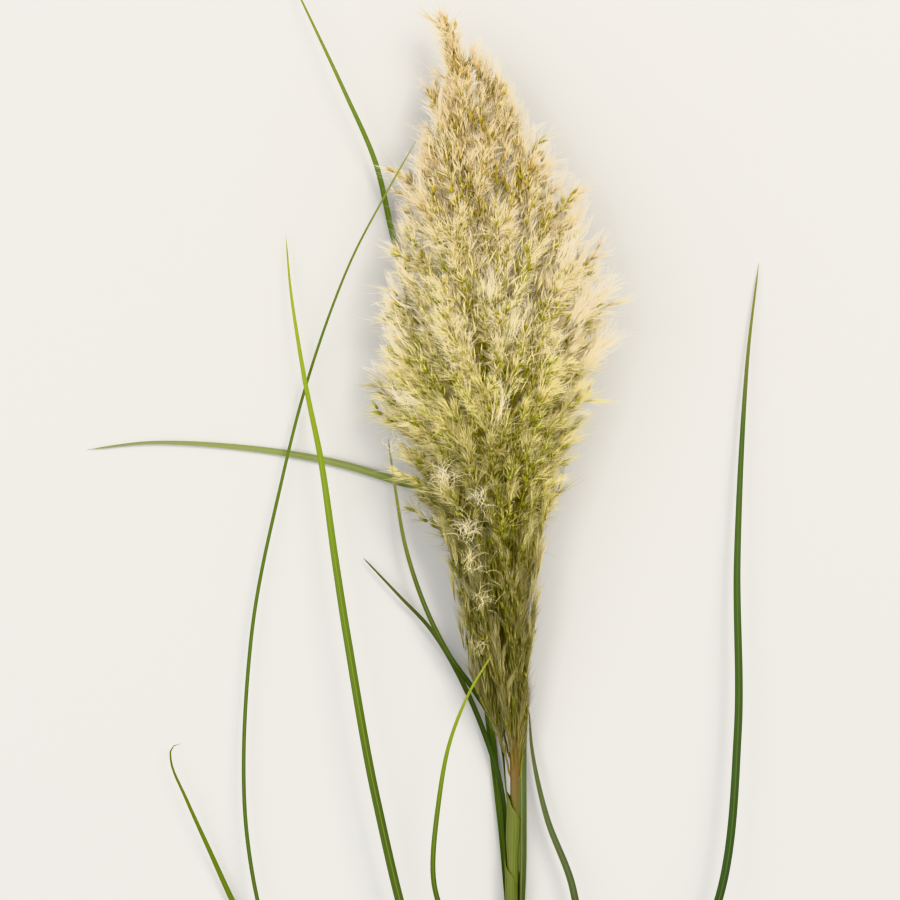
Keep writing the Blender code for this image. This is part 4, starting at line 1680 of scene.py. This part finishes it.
LEAVES = [
    Leaf("leaf_01", -60, -14, 190, 2.8, 18, OLIVE, (
        (-9, 23, 9), (-22, 46, 9), (-36, 66, 11), (-49, 92, 12), (-60, 125, 12), (-66, 158, 10),
        (-70, 186, 6))),
    Leaf("leaf_02", -92, -48, 225, 2.9, 12, DULL, (
        (-7, -10, 5.2), (-18, 26, 4.2), (-33, 59, 3.8), (-47, 81, 4.2), (-63, 98, 5), (-84, 120, 3))),
    Leaf("leaf_03", -124, -80, 236, 4.4, 10, FRESH, (
        (-8, -24, 2.2), (-17, 53, 1.2), (-27, 119, 1.2), (-41, 196, 1.2), (-58, 262, 1.6), (-68, 301, 3),
        (-77, 339, 9), (-94, 378, 12), (-117, 427, 7), (-126, 446, 2))),
    Leaf("leaf_04", -156, -112, 292, 5.4, 8, PALE, (
        (4, -60, 1.6), (4, 9, 2.2), (4, 66, 3.4), (-5, 112, 4.4), (-24, 144, 4.6), (-47, 158, 4.2),
        (-63, 162, 3.4), (-96, 172, 2), (-140, 180, 2), (-200, 184, 2.4), (-238, 180, 1.2))),
    Leaf("leaf_05", -188, -144, 128, 3.0, 22, BRIGHT, (
        (-14, -122, 21), (-30, -96, 27), (-42, -68, 30), (-45, -51, 31), (-42, -13, 34), (-36, 20, 36),
        (-25, 48, 37), (-13, 68, 36))),
    Leaf("leaf_06", -218, -176, 350, 4.4, 14, GREY, (
        (24, -140, 12), (36, -104, 14), (32, -62, 12), (18, -24, 9), (10, 12, 7), (8, 36, 6.4))),
    Leaf("leaf_07", -246, -206, 165, 5.0, 20, BRIGHT, (
        (-24, -160, 15), (-52, -105, 20), (-76, -13, 22), (-92, 75, 21), (-99, 119, 19), (-107, 174, 16),
        (-116, 218, 13), (-124, 268, 8), (-127, 300, 3))),
    Leaf("leaf_08", -272, -234, 10, 5.0, 16, DARK, (
        (34, -186, 14), (80, -132, 20), (112, -68, 22), (123, 25, 18), (123, 119, 13), (129, 227, 6),
        (136, 284, 1.2))),
    Leaf("leaf_09", -298, -260, 200, 2.2, 12, FRESH, (
        (-40, -204, 9), (-90, -164, 12), (-128, -112, 12), (-148, -35, 10), (-146, 75, 8), (-129, 163, 7),
        (-113, 224, 8), (-91, 282, 24), (-72, 317, 40), (-54, 348, 47))),
    Leaf("leaf_10", -324, -286, 215, 4.4, 14, SHADED, (
        (-44, -236, 3), (-104, -168, 1.4), (-150, -84, 3), (-170, -40, 7), (-182, -13, 9), (-190, 6, 9),
        (-190, 15, 8), (-185, 17, 7))),
]


class Foliage:
    """All the leaves."""

    def build(self) -> None:
        """Builds every leaf and ties it to the frame."""
        materials = {finish: finish.material() for finish in LEAF_FINISHES}
        for leaf in LEAVES:
            piece = leaf.build(materials[leaf.finish])
            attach(piece, BODY)
            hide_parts(leaf.node)
            leaf.finish.slot
            LOG.info("%s: %d triangles", piece.name, len(piece.data.polygons))


@dataclass(frozen=True)
class Culm:
    """The flowering stem: the culm with its node rings and its cut end, and the rachis above it."""

    sides: int = 20
    stations: int = 210
    ring_height: float = 0.26
    ring_width: float = 0.9
    ring_reach: float = 2.4
    ridge: float = 0.035
    cut_bulge: float = 0.55
    cut_rings: tuple[float, float] = (0.35, 0.80)
    cut_map: tuple[float, float] = (0.004, 0.014)
    skin_map: tuple[float, float] = (0.024, 0.976)

    def material(self) -> Material:
        """Builds the skin: green-gold with fine ridges, darker below the plume partly as painted shade, a
        paler rachis, and a cream pith at the cut.

        Returns:
            The material.
        """
        material, nodes, shader = node_material("culm_skin")
        across, along = nodes.map_axes()
        # The dark greens below the plume are partly the culm's own colour and partly painted shade.
        skin = nodes.ramp(along, (
            (0.0, (0.72, 0.66, 0.42)), (0.018, (0.70, 0.62, 0.36)), (0.024, (0.30, 0.30, 0.06)),
            (0.30, (0.095, 0.13, 0.018)), (0.41, (0.11, 0.125, 0.016)), (0.455, (0.14, 0.08, 0.015)),
            (0.51, (0.15, 0.09, 0.016)), (0.58, (0.26, 0.20, 0.03)), (0.75, (0.40, 0.32, 0.06)),
            (1.0, (0.52, 0.38, 0.12))))
        thrice = nodes.maths("MULTIPLY", across, 3.0)
        veins = nodes.add("ShaderNodeGroup", {"Across": thrice, "Along": along}, node_tree=VEINS.group())
        # (0.60, 0.58, 0.42) is painted shade that darkens the furrows between the ridges.
        VEINS.cover(nodes, shader, veins, skin, (0.22, 0.19, 0.05), (0.60, 0.58, 0.42), 0.4)
        nodes.feed(shader, {"Roughness": 0.4})
        return material

    def radius(self, height: Array) -> Array:
        """Works out the stem's own radius, plus a bell curve at each leaf's foot, plus fine ridges by angle.

        Args:
            height: places along the stem.

        Returns:
            An array by height, by side.
        """
        nodes = np.array([leaf.foot for leaf in LEAVES], float)
        rings = (self.ring_height * np.exp(-((height[:, None] - nodes[None]) / self.ring_width) ** 2)).sum(1)
        ridges = 1 + self.ridge * (np.arange(self.sides) % 2)
        return (table(STEM_RADIUS, height) + rings)[:, None] * ridges[None]

    def build(self) -> None:
        """Builds the stem of rings, with two small ones in its cut, and ties it to the frame."""
        low, high = STEM_LINE[0][1], STEM_LINE[-1][1]
        near = np.linspace(-self.ring_reach, self.ring_reach, 9)
        height = np.unique(np.concatenate([np.linspace(low, high, self.stations)]
                                          + [leaf.foot + near for leaf in LEAVES]))
        height = height[(height >= low) & (height <= high)]
        middle = STEM.point(height)
        points = middle[:, None] + self.radius(height)[..., None] * circle(*STEM.across(height), self.sides)
        bulge = middle[0] + self.cut_bulge * STEM.along(height[0])
        cut = [bulge + share * (points[0] - middle[0]) for share in self.cut_rings]
        grid = np.concatenate([cut, points])
        grid = np.concatenate([grid, grid[:, :1]], axis=1)
        start, span = self.skin_map
        v = np.concatenate([self.cut_map, start + span * (height - low) / (high - low)])
        count, sides = grid.shape[:2]
        index = np.arange(count * sides).reshape(count, sides)
        foot_fan = np.stack([np.zeros(sides - 3, int), index[0, 1:-2], index[0, 2:-1]], 1)
        top_fan = np.stack([np.full(sides - 3, index[-1, 0]), index[-1, 2:-1], index[-1, 1:-2]], 1)
        u = np.linspace(MAP_EDGE, 1 - MAP_EDGE, sides)
        places = np.stack([np.broadcast_to(u, index.shape), np.broadcast_to(v[:, None], index.shape)], -1)
        surface = Surface()
        faces = np.concatenate([grid_faces(index)[:, [0, 2, 1]], foot_fan, top_fan])
        surface.add(grid.reshape(-1, 3), faces, places.reshape(-1, 2))
        piece = surface.build("culm_and_rachis", [self.material()])
        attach(piece, BODY)
        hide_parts("flowering_stem")
        LOG.info("%s: %d triangles", piece.name, len(piece.data.polygons))


@dataclass(frozen=True)
class SoftLight:
    """One square soft light that faces the middle of the plume, in metres and watts."""

    name: str
    place: Place
    size: float
    power: float
    colour: Colour
    target: Place = (0.0, 0.12, 0.02)

    def build(self) -> None:
        """Adds the light to the scene."""
        data = bpy.data.lights.new(self.name, "AREA")
        data.size = self.size
        data.energy = self.power
        data.color = self.colour
        lamp = bpy.data.objects.new(self.name, data)
        lamp.location = self.place
        aim = Vector(self.target) - Vector(self.place)
        lamp.rotation_euler = aim.to_track_quat("-Z", "Y").to_euler()
        bpy.context.scene.collection.objects.link(lamp)


@dataclass
class Studio:
    """The plain pale floor, the soft lights, the pale surround and the camera."""

    frame_width: float = 0.495
    lens: float = 135.0
    sensor: float = 36.0
    focus_height: float = 0.022
    photo_middle: tuple[float, float] = (-35.75, 179.85)
    floor_half: float = 12.0
    floor_colour: Colour = (0.55, 0.54, 0.52)
    surround_colour: Colour = (0.97, 0.98, 1.0)
    lights: tuple[SoftLight, ...] = (
        SoftLight("key_light", (1.1, 1.1, 2.0), 1.2, 47, (1.0, 0.95, 0.86)),
        SoftLight("fill_light", (-1.5, 0.2, 1.6), 1.8, 30, (1.0, 0.98, 0.94)),
    )

    def floor(self) -> None:
        """Lays a wide pale floor at the surface on which the shoot lies."""
        half = self.floor_half
        corners = [(-half, -half, 0), (half, -half, 0), (half, half, 0), (-half, half, 0)]
        mesh = bpy.data.meshes.new("floor")
        mesh.from_pydata(corners, [], [(0, 1, 2, 3)])
        material, nodes, shader = node_material("pale_floor")
        nodes.feed(shader, {"Base Color": (*self.floor_colour, 1), "Roughness": 0.9})
        mesh.materials.append(material)
        floor = bpy.data.objects.new("floor", mesh)
        bpy.context.scene.collection.objects.link(floor)

    def surround(self) -> None:
        """Lights the scene evenly from all around."""
        world = bpy.data.worlds.new("surround")
        world.use_nodes = True
        values = {"Color": (*self.surround_colour, 1), "Strength": 1.0}
        Nodes(world.node_tree).feed(world.node_tree.nodes["Background"], values)
        bpy.context.scene.world = world

    def camera(self) -> None:
        """Sets the camera straight above, framed as the photograph is."""
        data = bpy.data.cameras.new("camera")
        data.lens = self.lens
        data.sensor_width = self.sensor
        camera = bpy.data.objects.new("camera", data)
        distance = self.frame_width * self.lens / self.sensor
        middle = (np.array((*self.photo_middle, 0.0)) + PLUME_BASE) * MM
        camera.location = (middle[0], middle[1], self.focus_height + distance)
        camera.rotation_euler = (0, 0, 0)
        bpy.context.scene.collection.objects.link(camera)
        bpy.context.scene.camera = camera

    def build(self) -> None:
        """Sets the whole studio up."""
        bpy.context.scene.view_settings.view_transform = "Khronos PBR Neutral"
        self.floor()
        self.surround()
        for light in self.lights:
            light.build()
        self.camera()


def main() -> None:
    """Builds the studio, the stem, the leaves and the plume."""
    logging.basicConfig(level=logging.INFO, format="%(name)s: %(message)s")
    Studio().build()
    Culm().build()
    Foliage().build()
    Plume([finish.material() for finish in (STALK, FLORET, GLUME, HAIR)]).build()


if __name__ == "__main__":
    main()
